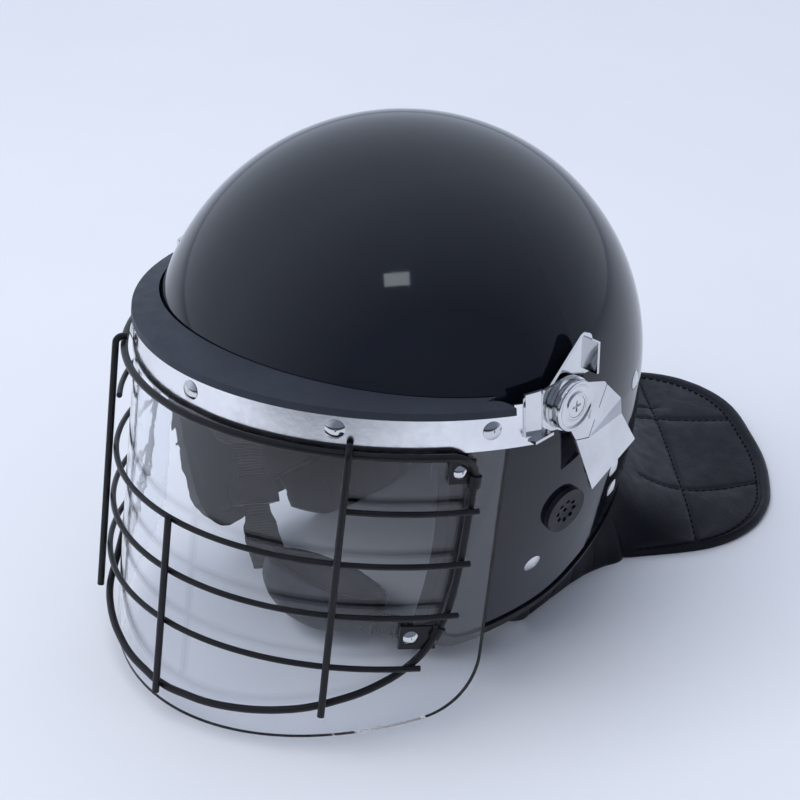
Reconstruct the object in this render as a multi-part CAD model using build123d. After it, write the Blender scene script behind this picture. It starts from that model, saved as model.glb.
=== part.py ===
"""Riot helmet with a swinging face shield, a wire grille, an inner lining and a padded neck guard.

The helmet stands on a table at z = 0 with its face towards -Y; +X is the wearer's left.
Everything is laid out from the visor pivot, which lies at y = 0, and is centred at the end.
"""
from build123d import *
import bisect
import math
import os

# Shell: an egg, widest at the dome centre, that tapers to the cheeks
shell_half_width = 123.5
shell_half_length = 130.0
dome_rise = 122.7
dome_centre_height = 140.6
dome_centre_back = 15.3
shell_wall = 4.0
skirt_level_shares = (1.0, 0.78, 0.57, 0.36, 0.14, 0.03)
skirt_width_shares = (1.0, 0.984, 0.935, 0.85, 0.735, 0.66)
skirt_length_shares = (1.0, 1.0, 1.0, 1.0, 0.985, 0.95)

# Shell edge, seen from the side
brow_height = 163.0
cheek_front = 56.0
rim_height = 22.0
rim_flat_back = 30.0
nape_side_back = 100.0
nape_side_height = 53.0
nape_slope = 0.57
brow_corner_radius = 24.0
chin_corner_radius = 30.0
rim_bend_radius = 70.0

# Rubber trim on the shell edge
trim_wall = 1.2
trim_reach = 6.5
trim_lip = 1.8

# Fits and overruns
lay_gap = 0.15
soft_gap = 0.4
face_gap = 0.1
overrun = 5.0
far = 400.0

# Impact lining and comfort pads
liner_wall = 22.0
liner_brow_height = 172.0
liner_front = 48.0
liner_bottom_height = 108.0
liner_corner_radius = 20.0
pad_depth = 12.0
crown_pad_radius = 62.0
crown_pad_bulge = 30.0
side_pad_length = 44.0
side_pad_height = 30.0
side_pad_bulge = 18.0
side_pad_level = 142.0
brow_pad_half_width = 66.0
brow_pad_height = 22.0
brow_pad_bulge = 30.0
brow_pad_level = 194.0
nape_pad_half_width = 66.0
nape_pad_height = 34.0
nape_pad_bulge = 30.0
nape_pad_level = 146.0
cheek_pad_length = 40.0
cheek_pad_height = 28.0
cheek_pad_depth = 20.0
cheek_pad_level = 74.0
cheek_pad_back = 2.0
cheek_channel_width = 3.0
cheek_channel_depth = 2.5
cheek_channel_gap = 24.0

# Ear vent cap with its ring of holes
vent_radius = 12.5
vent_depth = 2.6
vent_dish = 1.0
vent_barrel_radius = 8.6
vent_barrel_wall = 1.4
vent_back = 7.5
vent_level = 98.5
vent_hole_radius = 1.25
vent_ring_radius = 5.6
vent_holes = 8

# Visor pivots
pivot_height = 164.0
pivot_hole_radius = 5.05
bolt_radius = 5.0
plate_wall = 1.5
base_plate_inner = 121.2
base_plate_radius = 13.0
base_apex_back = 16.5
base_apex_rise = 25.0
base_apex_radius = 4.5
stop_lug_reach = 6.5
stop_lug_length = 17.0
spacer_radius = 9.0
washer_radius = 9.0
arm_radius = 13.4
friction_disc_radius = 13.6
friction_disc_wall = 1.8
cap_disc_radius = 13.0
cap_disc_wall = 2.6
cap_dish = 0.9
cap_rim = 1.6
cap_floor = 0.8
cap_edge_radius = 0.9
screw_head_radius = 5.6
screw_head_rise = 1.6
screw_slot_length = 6.0
screw_slot_width = 1.2
screw_slot_depth = 1.2
nut_radius = 9.0
nut_wall = 3.0
block_radius = 9.5
block_inner = 110.0
nut_sides = 6
nut_room_gap = 1.0

# Release lever beside each pivot: places as (out, back, up) from the pivot, in shares of its reach
lever_wall = 1.2
lever_reach = 50.0
lever_ring_radius = 11.0
lever_lobe_radius = 4.2
lever_lobe_shares = (0.43, -0.01)
lever_tab_shares = ((0.28, -0.11), (0.42, -0.21), (0.40, -0.33), (0.26, -0.26))
lever_bend_top_shares = (0.0, 0.52, 0.01)
lever_bend_low_shares = (0.0, 0.27, -0.48)
lever_corner_shares = (-0.074, 0.844, -0.30)
lever_notch_shares = (-0.024, 0.80, -0.436)
lever_near_shares = (0.0, 0.08, -0.43)
lever_tip_shares = (0.096, 0.24, -1.01)
lever_far_shares = (0.03, 0.968, -0.776)
lever_gap = 0.45

# Visor: concentric ellipses in a plane that tilts up to the front, drawn down along a lean
visor_centre_back = 26.6
visor_centre_height = 142.1
visor_tilt = 7.6
visor_lean = 8.9
lens_half_width = 128.6
lens_half_length = 154.4
lens_wall = 2.5
lens_top_rise = 17.2
lens_drop = 162.0
lens_side_ahead = 33.0
lens_side_height = 148.4
lens_corner_ahead = 54.0
lens_corner_height = 14.0
lens_corner_radius = 34.0
lens_hem_height = 2.4

# Chromed band, its rivets and the arms to the pivots
band_wall = 1.2
band_low_rise = 0.3
band_top_rise = 17.5
band_end_ahead = 20.0
band_step_ahead = 31.0
band_step_rise = 22.5
band_rivet_angles = (-63.0, -33.2, 0.0, 33.2, 63.0)
band_rivet_rise = 10.5
rivet_head_radius = 4.8
rivet_head_rise = 1.6
rivet_shank_radius = 2.0
rivet_hole_gap = 0.1
arm_inner = 124.5
arm_front = 26.5
arm_turn = 18.0
arm_low_drop = 9.5
arm_top_rise = 13.0
arm_tab_length = 13.0
arm_tab_reach = 3.5

# Brow seal, a soft collar from the band to the dome
seal_flange_wall = 2.0
seal_flange_low_rise = 1.5
seal_bead_rise = 21.5
seal_wall = 3.0
seal_bead_out = 1.5
seal_brim_draw = 26.0
seal_brim_rise = 8.4
seal_corner_side = 110.5
seal_dome_gap = 1.2
seal_end_ahead = 31.0
seal_end_radius = 11.0

# Wire grille in front of the lens
grille_stand_off = 6.0
bar_radius = 1.5
frame_radius = 1.9
upright_radius = 1.8
weld_gap = 0.15
bar_step_angle = 4.0
wire_bend_share = 0.45
bar_drops = (28.6, 56.3, 83.9, 111.6)
upright_angle = 36.5
upright_side_drop = 137.0
upright_mid_drop = 150.5
upright_top_rise = 2.2
bar_end_angles = (61.6, 61.2, 60.2, 54.2)
frame_side_angles = (60.8, 60.5, 60.1, 58.9, 55.2, 50.4, 44.0)
frame_side_drops = (8.0, 28.6, 56.3, 84.0, 105.0, 117.0, 127.0)
frame_top_angles = (2.5, 12.0, 22.0, 32.0, 42.0, 51.0, 57.5)
frame_low_angles = (34.0, 24.0, 13.0, 2.5)
frame_low_drops = (135.8, 141.8, 146.0, 147.3)

# Clips that hold the grille to the lens
clip_angles = (57.8, 52.0)
clip_drops = (9.5, 97.0)
clip_frame_runs = (0, 3)
clip_frame_run_shares = (0.3, 0.48)
clip_half_width = 5.6
clip_half_height = 6.2
clip_plate_wall = 1.6
clip_sleeve_wall = 1.2
clip_wire_gap = 0.12
clip_rivet_radius = 3.7
clip_rivet_rise = 1.3

# Shell rivets
shell_rivet_radius = 5.0
shell_rivet_rise = 1.4
shell_rivet_backs = (-3.0, 71.0, 53.0, 59.0)
shell_rivet_levels = (66.5, 142.0, 100.0, 83.0)

# Chin strap, its buckle and the cup
web_width = 20.0
web_wall = 1.8
strap_top_rise = 9.0
strap_turn_half = 68.0
strap_turn_back = -23.0
strap_turn_level = 14.0
strap_cup_half = 37.0
strap_cup_back = -44.0
strap_cup_level = 17.0
strap_bend = 14.0
strap_steps = 14
strap_twist_share = 0.62
buckle_share = 0.42
buckle_length = 24.0
buckle_width = 27.0
buckle_wall = 9.0
buckle_shell_wall = 1.8
buckle_bar_wall = 3.0
insert_length = 13.0
prong_length = 18.0
prong_width = 3.2
prong_wall = 4.0
prong_gap = 0.35
slider_length = 15.0
slider_wall = 6.0
web_slot_gap = 0.3
cup_half_width = 38.0
cup_half_length = 27.0
cup_half_height = 23.0
cup_wall = 4.5
cup_ahead = 44.0
cup_side = 3.0
cup_level = 26.5
cup_cut_rise = 5.0
cup_cut_angle = 22.0

# Neck guard: a quilted apron that falls from the nape and spreads on the table
guard_axis_back = 60.0
guard_reach = 226.0
guard_angle = 56.5
guard_angle_shares = (0.0, 0.076, 0.15, 0.265, 0.385, 0.5, 0.63, 0.76, 0.865, 0.95, 1.0)
guard_reach_shares = (1.0, 0.995, 0.979, 0.938, 0.902, 0.862, 0.815, 0.742, 0.64, 0.49, 0.42)
guard_section_shares = (
    0.0, 0.08, 0.15, 0.21, 0.285, 0.355, 0.43, 0.505, 0.575, 0.655, 0.745, 0.83, 0.92, 1.0
)
guard_seam_shares = (0.15, 0.505, 1.0)
guard_row_shares = (0.0, 0.03, 0.08, 0.15, 0.23, 0.32, 0.41, 0.5, 0.59, 0.68, 0.77, 0.86, 0.94, 0.97, 1.0)
guard_mid_seam_share = 0.5
guard_hem_seam_share = 0.94
guard_fall_shares = (
    1.0, 0.907, 0.766, 0.594, 0.433, 0.291, 0.185, 0.109, 0.0577, 0.0261, 0.0091, 0.0019, 0.0, 0.0, 0.0
)
guard_wall = 6.0
guard_crown = 3.2
guard_rim_tuck = 9.0
guard_rim_gap = 1.4
guard_arch = 5.0
guard_flat_cut = 0.5

# Ear side curtains of the neck guard, inside the shell edge
wing_angles = (61.0, 68.0, 79.0, 89.0, 98.0, 106.0, 113.0, 122.0)
wing_foot_draws = (2.0, 4.5, 8.0, 8.0, 7.0, 5.5, 3.7, 1.5)
wing_wall = 7.0
wing_crown = 1.6
wing_row_shares = (0.0, 0.2, 0.4, 0.6, 0.8, 1.0)
wing_row_crown_shares = (0.0, 0.8, 1.0, 1.0, 0.8, 0.0)

tilt = math.radians(visor_tilt)
lean = math.radians(visor_lean)
down = Vector(0, -math.sin(lean), -math.cos(lean))
nodes = {}


# Half ellipsoid over a lofted skirt, drawn in by the inset on every side
def egg(inset):
    half_width = shell_half_width - inset
    half_length = shell_half_length - inset
    ball = scale(Sphere(1), by=(half_width, half_length, dome_rise - inset))
    dome = ball - Pos(0, 0, -far / 2) * Box(far, far, far)
    rows = []
    for level, width, length in zip(skirt_level_shares, skirt_width_shares, skirt_length_shares):
        row_plane = Plane(origin=(0, 0, (level - 1) * dome_centre_height))
        row_width = shell_half_width * width - inset
        row_length = shell_half_length * length - inset
        rows.append(row_plane * Ellipse(row_width, row_length))
    return Pos(0, dome_centre_back, dome_centre_height) * (dome + loft(rows))


# Share of the full width and length that the skirt has at a level
def skirt_shares(level):
    below = max(min(level / dome_centre_height, 1), skirt_level_shares[-1])
    levels = list(reversed(skirt_level_shares))
    row = max(bisect.bisect_left(levels, below), 1)
    part = (below - levels[row - 1]) / (levels[row] - levels[row - 1])
    shares = []
    for table in (skirt_width_shares, skirt_length_shares):
        values = list(reversed(table))
        shares.append(values[row - 1] + part * (values[row] - values[row - 1]))
    return shares


# Distance from the guard axis to the shell at a level, in a direction from straight back
def shell_reach(angle, level, inset):
    width_share, length_share = skirt_shares(level)
    half_width = shell_half_width * width_share - inset
    half_length = shell_half_length * length_share - inset
    side = math.sin(math.radians(angle)) / half_width
    back = math.cos(math.radians(angle)) / half_length
    start = (guard_axis_back - dome_centre_back) / half_length
    square = side * side + back * back
    return (math.sqrt(start * start * back * back + square * (1 - start * start)) - start * back) / square


# Solid that keeps what lies inside a side view outline of (y, z) points
def side_keep(points, radii):
    outline = FilletPolyline(*[(0, y, z) for y, z in points], radius=radii, close=True)
    return extrude(Face(Wire(outline.edges())), amount=far, dir=(1, 0, 0), both=True)


# Side view outline of the shell, grown outwards by a margin
def shell_outline(margin):
    slope = math.atan(nape_slope)
    low = rim_height - margin
    side = nape_side_height - margin / math.cos(slope)
    bend = rim_bend_radius
    points = [
        (-far, brow_height - margin),
        (-cheek_front - margin, brow_height - margin),
        (-cheek_front - margin, low),
        (rim_flat_back, low),
        (nape_side_back, side),
        (far, side + (far - nape_side_back) * nape_slope),
        (far, 2 * far),
        (-far, 2 * far),
    ]
    corner_radii = (brow_corner_radius - margin, chin_corner_radius + margin)
    return side_keep(points, [0, *corner_radii, bend, bend, 0, 0, 0])


# Plane that sits on a solid's left side at a place in the side view, facing out
def seat(body, back, level):
    ray = Axis((2 * shell_half_width, back, level), (-1, 0, 0))
    point, normal = max(body.find_intersection_points(ray), key=lambda hit: hit[0].X)
    if normal.X < 0:
        normal = normal * -1
    return Plane(origin=point, x_dir=(0, 1, 0), z_dir=normal)


# Rivet with a domed head above its seat and a shank below
def rivet(place, head_radius, head_rise, shank):
    ball_radius = (head_radius ** 2 + head_rise ** 2) / (2 * head_rise)
    ball = Pos(0, 0, head_rise - ball_radius) * Sphere(ball_radius)
    cap = ball & Pos(0, 0, head_rise / 2) * Cylinder(head_radius, head_rise)
    stem = Pos(0, 0, -shank / 2) * Cylinder(rivet_shank_radius, shank)
    return place * (cap + stem)


# Disc across the pivot, from one side distance to another
def pivot_disc(radius, inner, outer, hole=0):
    disc = Cylinder(radius, outer - inner)
    if hole:
        disc = disc - Cylinder(hole, 2 * (outer - inner))
    return Pos((inner + outer) / 2, 0, pivot_height) * Rot(0, 90, 0) * disc


# Side view plane through the pivot, at a side distance, with (back, up) as its directions
def side_plane(side):
    return Plane(origin=(side, 0, pivot_height), x_dir=(0, 1, 0), z_dir=(1, 0, 0))


# Flat plate with a rounded outline round circles of (back, up, radius) from the pivot
def side_plate(circles, inner, wall):
    rims = [(Pos(back, up) * Circle(radius)).edge() for back, up, radius in circles]
    return extrude(side_plane(inner) * make_hull(rims), amount=wall)


def both_sides(shape):
    return shape, mirror(shape, about=Plane.YZ)


# Point on a visor ellipse, pushed out along its normal and drawn down along the lean
def visor_point(half_width, half_length, out, angle, drop):
    turn = math.radians(angle)
    side = half_length * math.sin(turn)
    front = half_width * math.cos(turn)
    size = math.hypot(side, front)
    x = half_width * math.sin(turn) + out * side / size
    ahead = half_length * math.cos(turn) + out * front / size
    y = visor_centre_back - ahead * math.cos(tilt)
    z = visor_centre_height + ahead * math.sin(tilt)
    return Vector(x, y, z) + down * drop


# Outward plane on a visor ellipse
def visor_plane(half_width, half_length, out, angle, drop):
    near = visor_point(half_width, half_length, out, angle, drop)
    beyond = visor_point(half_width, half_length, out + grille_stand_off, angle, drop)
    return Plane(origin=near, x_dir=down * -1, z_dir=beyond - near)


# Wall between two ellipses of the visor, from one rise above the visor plane to another
def visor_wall(half_width, half_length, wall, low_rise, top_rise):
    start = Vector(0, visor_centre_back, visor_centre_height) - down * top_rise
    base = Plane(origin=start, x_dir=(1, 0, 0), z_dir=(0, math.sin(tilt), math.cos(tilt)))
    ring = Ellipse(half_width, half_length) - Ellipse(half_width - wall, half_length - wall)
    return extrude(base * ring, amount=top_rise - low_rise, dir=down)


# Round wire along points, with arcs as large as the runs allow
def wire_along(points, radius):
    bends = []
    for before, here, after in zip(points, points[1:], points[2:]):
        run_in = here - before
        run_out = after - here
        turn = math.radians(run_in.get_angle(run_out))
        bends.append(wire_bend_share * min(run_in.length, run_out.length) / math.tan(turn / 2))
    path = FilletPolyline(*points, radius=bends)
    start = Plane(origin=points[0], z_dir=points[1] - points[0])
    return sweep(start * Circle(radius), path=path)


# Straight wire between two points
def wire_between(start, end, radius):
    run = end - start
    return Plane(origin=start, z_dir=run) * Pos(0, 0, run.length / 2) * Cylinder(radius, run.length)


# Loft through section wires, each given as points
def skin(sections):
    return Solid.make_loft([Wire.make_polygon(points, close=True) for points in sections], ruled=True)


# Flat sheet from corner points, thickened towards one side
def sheet(points, wall):
    return extrude(Face(Wire.make_polygon(points, close=True)), amount=wall)


# Value of a table at a place between its rows
def between(places, values, place):
    row = min(max(bisect.bisect_left(places, place), 1), len(places) - 1)
    part = (place - places[row - 1]) / (places[row] - places[row - 1])
    return values[row - 1] + part * (values[row] - values[row - 1])


# Pillow against a wall: a flattened ball pushed out until only its pad depth shows
def pillow(place, half_sizes, bulge_axis, room):
    lift = half_sizes[bulge_axis] - pad_depth
    away = Vector(*[math.copysign(lift, place[i]) if i == bulge_axis else 0 for i in range(3)])
    ball = scale(Sphere(1), by=half_sizes)
    return (Pos(*(Vector(*place) + away)) * ball) & room


# Height of the shell edge at a place behind the pivot
def rim_level(back):
    if back < rim_flat_back:
        return rim_height
    if back < nape_side_back:
        rise = (nape_side_height - rim_height) / (nape_side_back - rim_flat_back)
        return rim_height + (back - rim_flat_back) * rise
    return nape_side_height + (back - nape_side_back) * nape_slope


# Height of the shell edge in a direction from the guard axis
def rim_in_direction(angle):
    level = rim_height
    for _ in range(len(skirt_level_shares)):
        back = guard_axis_back + shell_reach(angle, level, 0) * math.cos(math.radians(angle))
        level = rim_level(back)
    return level


# Point in a vertical half plane through the guard axis
def radial(angle, reach, level):
    turn = math.radians(angle)
    return Vector(reach * math.sin(turn), guard_axis_back + reach * math.cos(turn), level)


# Outer shell with holes for the pivot bolts, the rivets and the ear vents
outer = egg(0)
inner = egg(shell_wall)
plain_shell = (outer - inner) & shell_outline(0)
shell = plain_shell
bolt_hole = Pos(0, 0, pivot_height) * Rot(0, 90, 0) * Cylinder(pivot_hole_radius, far)
rivet_seats = [seat(outer, back, level) for back, level in zip(shell_rivet_backs, shell_rivet_levels)]
vent_seat = seat(outer, vent_back, vent_level)
for place in rivet_seats:
    for hole in both_sides(place * Cylinder(rivet_shank_radius + rivet_hole_gap, 2 * shell_wall + overrun)):
        shell = shell - hole
for hole in both_sides(vent_seat * Cylinder(vent_barrel_radius + face_gap, 2 * shell_wall + overrun)):
    shell = shell - hole
for flat in both_sides(pivot_disc(base_plate_radius + plate_wall, base_plate_inner - face_gap, far)):
    shell = shell - flat
nodes["outer_shell"] = shell - bolt_hole

# Rubber trim folded over the shell edge
trim_band = shell_outline(trim_lip) - shell_outline(trim_lip - trim_reach)
trim = (egg(-trim_wall) - egg(shell_wall + trim_wall)) & trim_band
nodes["shell_edge_trim"] = trim - plain_shell

# Impact lining, open below and at the face, with room for the pivot nuts
lining_inset = shell_wall + lay_gap
lining_keep = side_keep(
    [
        (-far, liner_brow_height),
        (-liner_front, liner_brow_height),
        (-liner_front, liner_bottom_height),
        (far, liner_bottom_height),
        (far, 2 * far),
        (-far, 2 * far),
    ],
    [0, liner_corner_radius, liner_corner_radius, 0, 0, 0],
)
lining = (egg(lining_inset) - egg(lining_inset + liner_wall)) & lining_keep
nut_room = pivot_disc(block_radius + nut_room_gap, 0, shell_half_width)
for room in both_sides(nut_room):
    lining = lining - room
nodes["impact_liner"] = lining

# Comfort pads on the lining
pad_room_inset = lining_inset + liner_wall + soft_gap
pad_room = egg(pad_room_inset)
cavity_half_width = shell_half_width - pad_room_inset
cavity_half_length = shell_half_length - pad_room_inset
cavity_rise = dome_rise - pad_room_inset
crown_place = (0, dome_centre_back, dome_centre_height + cavity_rise)
nodes["crown_pad"] = pillow(crown_place, (crown_pad_radius, crown_pad_radius, crown_pad_bulge), 2, pad_room)
brow_lift = (brow_pad_level - dome_centre_height) / cavity_rise
brow_reach = cavity_half_length * math.sqrt(1 - brow_lift * brow_lift)
brow_place = (0, dome_centre_back - brow_reach, brow_pad_level)
nodes["brow_pad"] = pillow(brow_place, (brow_pad_half_width, brow_pad_bulge, brow_pad_height), 1, pad_room)
nape_place = (0, dome_centre_back + cavity_half_length, nape_pad_level)
nodes["nape_pad"] = pillow(nape_place, (nape_pad_half_width, nape_pad_bulge, nape_pad_height), 1, pad_room)
side_place = (cavity_half_width, dome_centre_back, side_pad_level)
side_pad = pillow(side_place, (side_pad_bulge, side_pad_length, side_pad_height), 0, pad_room) - nut_room
nodes["side_pads"] = Compound(both_sides(side_pad))

# Cheek pads inside the shell, with sewn channels
cheek_room = egg(shell_wall + soft_gap + trim_wall)
cheek_width_share, _ = skirt_shares(cheek_pad_level)
cheek_place = Pos(shell_half_width * cheek_width_share - shell_wall, cheek_pad_back, cheek_pad_level)
cheek_ball = scale(Sphere(1), by=(cheek_pad_depth, cheek_pad_length, cheek_pad_height))
core_sizes = tuple(
    size - cheek_channel_depth for size in (cheek_pad_depth, cheek_pad_length, cheek_pad_height)
)
cheek_core = scale(Sphere(1), by=core_sizes)
cheek_crust = cheek_ball - cheek_core
cheek_pad = cheek_ball
for side in (-1, 1):
    groove = Pos(0, side * cheek_channel_gap / 2, 0) * Box(far, cheek_channel_width, far)
    cheek_pad = cheek_pad - (cheek_crust & groove)
cheek_pad = (cheek_place * cheek_pad) & cheek_room
cheek_left, cheek_right = both_sides(cheek_pad)
nodes["cheek_pad_left"] = cheek_left
nodes["cheek_pad_right"] = cheek_right

# Ear vents: a dished cap with a ring of holes on a barrel through the shell
vent_barrel_length = shell_wall + vent_depth / 2
vent_barrel = Cylinder(vent_barrel_radius, vent_barrel_length)
vent_barrel = vent_barrel - Cylinder(vent_barrel_radius - vent_barrel_wall, vent_barrel_length + overrun)
vent_skirt = Pos(0, 0, -vent_depth / 2) * Cylinder(vent_radius, 2 * vent_depth + vent_depth)
vent_skirt = vent_skirt - Pos(0, 0, -vent_depth) * Cylinder(vent_barrel_radius, 2 * vent_depth)
vent_ball_radius = (vent_ring_radius ** 2 + vent_dish ** 2) / (2 * vent_dish)
vent_hollow = Pos(0, 0, vent_depth - vent_dish + vent_ball_radius) * Sphere(vent_ball_radius)
vent_cap = vent_skirt & Pos(0, 0, -far / 2 + vent_depth) * Box(far, far, far)
vent_cap = vent_cap - vent_hollow
vent_cap = (vent_seat * vent_cap) - egg(-lay_gap)
vent = vent_cap + vent_seat * Pos(0, 0, vent_barrel_length / 2 - shell_wall) * vent_barrel
vent_drill = Cylinder(vent_hole_radius, 4 * vent_depth)
vent = vent - vent_seat * vent_drill
for step in range(vent_holes):
    turn = 2 * math.pi * step / vent_holes
    place = Pos(vent_ring_radius * math.cos(turn), vent_ring_radius * math.sin(turn), 0)
    vent = vent - vent_seat * place * vent_drill
vent_left, vent_right = both_sides(vent)
nodes["ear_vent_left"] = vent_left
nodes["ear_vent_right"] = vent_right

# Shell rivets, with heads outside and shanks through the wall
heads = [rivet(place, shell_rivet_radius, shell_rivet_rise, shell_wall) for place in rivet_seats]
nodes["shell_rivets"] = Compound([side for head in heads for side in both_sides(head)])

# Pivot stack on each side, outwards from the shell
base_outer = base_plate_inner + plate_wall
arm_outer = arm_inner + plate_wall
disc_inner = arm_outer + face_gap
disc_outer = disc_inner + friction_disc_wall
lever_inner = disc_outer + face_gap
lever_outer = lever_inner + lever_wall
cap_inner = lever_outer + face_gap
cap_outer = cap_inner + cap_disc_wall
head_inner = cap_inner + cap_floor + face_gap / 2

# Base plate with its stop lug folded outwards along the rear edge
apex = (base_apex_back, base_apex_rise, base_apex_radius)
base = side_plate([(0, 0, base_plate_radius), apex], base_plate_inner, plate_wall)
lug_back = base_apex_back + base_apex_radius - plate_wall
lug = Pos(
    base_plate_inner + stop_lug_reach / 2,
    lug_back + plate_wall / 2,
    pivot_height + base_apex_rise - stop_lug_length / 2,
) * Box(stop_lug_reach, plate_wall, stop_lug_length)
lug_foot = Pos(
    base_plate_inner + plate_wall / 2,
    lug_back - base_apex_radius / 2 + plate_wall / 2,
    pivot_height + base_apex_rise - stop_lug_length / 2,
) * Box(plate_wall, base_apex_radius + plate_wall / 2, stop_lug_length)
base = base + lug + lug_foot - pivot_disc(pivot_hole_radius, 0, far)

# Spacers, washers, friction discs, caps, screws and nuts
spacer = pivot_disc(spacer_radius, block_inner, base_plate_inner - face_gap / 2, pivot_hole_radius)
spacer = spacer - egg(-face_gap)
block = pivot_disc(block_radius, block_inner, far, pivot_hole_radius) & egg(shell_wall + face_gap)
washer = pivot_disc(washer_radius, base_outer + face_gap, arm_inner - face_gap, pivot_hole_radius)
friction_disc = pivot_disc(friction_disc_radius, disc_inner, disc_outer, pivot_hole_radius)
head_room_radius = screw_head_radius + 2 * face_gap
groove_half = (cap_disc_radius - cap_rim - head_room_radius - cap_rim / 2) / 2
groove_radius = (groove_half ** 2 + cap_dish ** 2) / (2 * cap_dish)
cap = Cylinder(cap_disc_radius, cap_disc_wall)
cap = fillet(cap.edges().filter_by(GeomType.CIRCLE), cap_edge_radius)
cap = cap - Cylinder(pivot_hole_radius, 2 * cap_disc_wall)
cap = cap - Pos(0, 0, cap_floor) * Cylinder(head_room_radius, cap_disc_wall)
groove = Torus(head_room_radius + cap_rim / 2 + groove_half, groove_radius)
cap = cap - Pos(0, 0, cap_disc_wall / 2 + groove_radius - cap_dish) * groove
cap = Pos((cap_inner + cap_outer) / 2, 0, pivot_height) * Rot(0, 90, 0) * cap
screw = pivot_disc(bolt_radius, block_inner - nut_wall, head_inner + face_gap)
screw = screw + pivot_disc(screw_head_radius, head_inner, head_inner + screw_head_rise)
for slot in (
    Box(2 * screw_slot_depth, screw_slot_length, screw_slot_width),
    Box(2 * screw_slot_depth, screw_slot_width, screw_slot_length),
):
    screw = screw - Pos(head_inner + screw_head_rise, 0, pivot_height) * slot
nut_face = RegularPolygon(nut_radius, nut_sides) - Circle(pivot_hole_radius)
nut = extrude(side_plane(block_inner - face_gap - nut_wall) * nut_face, amount=nut_wall - face_gap)
pivot_pieces = {
    "hinge_base": base,
    "pivot_spacer": spacer,
    "pivot_block": block,
    "pivot_washer": washer,
    "friction_disc": friction_disc,
    "pivot_cap": cap,
    "pivot_screw": screw,
    "pivot_nut": nut,
}


# Point of the release lever from shares of its reach
def lever_point(shares):
    out, back, up = shares
    return Vector(lever_outer + out * lever_reach, back * lever_reach, pivot_height + up * lever_reach)


# Lever root: a ring on the screw with a lobe and a punched tab, up to the bend line
bend_top = lever_point(lever_bend_top_shares)
bend_low = lever_point(lever_bend_low_shares)
near_corner = lever_point(lever_near_shares)
lobe_back, lobe_up = [share * lever_reach for share in lever_lobe_shares]
ring = (0, 0, lever_ring_radius)
root = side_plate([ring, (lobe_back, lobe_up, lever_lobe_radius)], lever_inner, lever_wall)
root_points = [(0, pivot_height + lever_ring_radius - lever_wall), (bend_top.Y, bend_top.Z)]
root_points += [(bend_low.Y, bend_low.Z), (near_corner.Y, near_corner.Z)]
root_points += [(-lever_ring_radius / 2, pivot_height - lever_ring_radius / 2)]
root_face = Face(Wire.make_polygon([(lever_inner, y, z) for y, z in root_points], close=True))
root = root + extrude(root_face, amount=lever_wall, dir=(1, 0, 0))
tab_points = []
for back, up in lever_tab_shares:
    tab_points.append((lever_outer, back * lever_reach, pivot_height + up * lever_reach))
tab = extrude(Face(Wire.make_polygon(tab_points, close=True)), amount=lever_wall / 2, dir=(1, 0, 0))
bend_run = bend_top - bend_low
bend_out = Vector(0, bend_run.Z, -bend_run.Y).normalized()
low_run = bend_low - near_corner
low_out = Vector(0, low_run.Z, -low_run.Y).normalized()
for start, run, out in ((bend_low, bend_run, bend_out), (near_corner, low_run, low_out)):
    trim_plane = Plane(origin=start - out * lever_gap, x_dir=run, z_dir=(1, 0, 0))
    turn_up = trim_plane.y_dir.dot(out)
    root = root - trim_plane * Pos(0, math.copysign(far / 2, turn_up), 0) * Box(4 * far, far, far)
root = root + tab - pivot_disc(pivot_hole_radius, 0, far)

# Release lever: a facet beyond the bend line and a wide finger plate
corner = lever_point(lever_corner_shares)
notch = lever_point(lever_notch_shares)
tip = lever_point(lever_tip_shares)
plate_out = (tip - near_corner).cross(notch - near_corner).normalized()
if plate_out.X < 0:
    plate_out = plate_out * -1
flat_far = lever_point(lever_far_shares)
flat_far = flat_far - plate_out * (flat_far - near_corner).dot(plate_out)
flat_low = bend_low - plate_out * (bend_low - near_corner).dot(plate_out)
finger = Face(Wire.make_polygon([near_corner, flat_low, notch, flat_far, tip], close=True))
finger = extrude(finger, amount=lever_wall, dir=plate_out * -1)
facets = []
for points in ((bend_top, corner, bend_low), (corner, notch, bend_low)):
    facet_out = (points[1] - points[0]).cross(points[2] - points[0]).normalized()
    if facet_out.X < 0:
        facet_out = facet_out * -1
    facet = Face(Wire.make_polygon(list(points), close=True))
    facets.append(extrude(facet, amount=lever_wall, dir=facet_out * -1))
lever = finger + facets[0] + facets[1]

# Lens of the face shield
lens_front = visor_point(lens_half_width, lens_half_length, 0, 0, lens_drop)
hem_slope = (lens_corner_height - lens_hem_height) / (-lens_corner_ahead - lens_front.Y)
side_slope = (lens_corner_ahead - lens_side_ahead) / (lens_side_height - lens_corner_height)
lens_keep = side_keep(
    [
        (-far, lens_corner_height - (far - lens_corner_ahead) * hem_slope),
        (-lens_corner_ahead, lens_corner_height),
        (-lens_corner_ahead + (far - lens_corner_height) * side_slope, far),
        (-far, far),
    ],
    [0, lens_corner_radius, 0, 0],
)
lens = visor_wall(lens_half_width, lens_half_length, lens_wall, -lens_drop - 4 * overrun, lens_top_rise)
lens = lens & lens_keep

# Chromed band over the top edge of the lens, taller at its ends
band_half_width = lens_half_width + lay_gap + band_wall
band_half_length = lens_half_length + lay_gap + band_wall


# Slab across the helmet between two places in the side view
def slab(back_from, back_to, low, top):
    place = Pos(0, (back_from + back_to) / 2, (low + top) / 2)
    return place * Box(4 * far, back_to - back_from, top - low)


band = visor_wall(band_half_width, band_half_length, band_wall, band_low_rise, band_top_rise)
band = band & slab(-far, -band_end_ahead, -far, far)
band_ends = visor_wall(band_half_width, band_half_length, band_wall, band_low_rise, band_step_rise)
band = band + (band_ends & slab(-band_step_ahead + face_gap, -band_end_ahead, -far, far))

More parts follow.
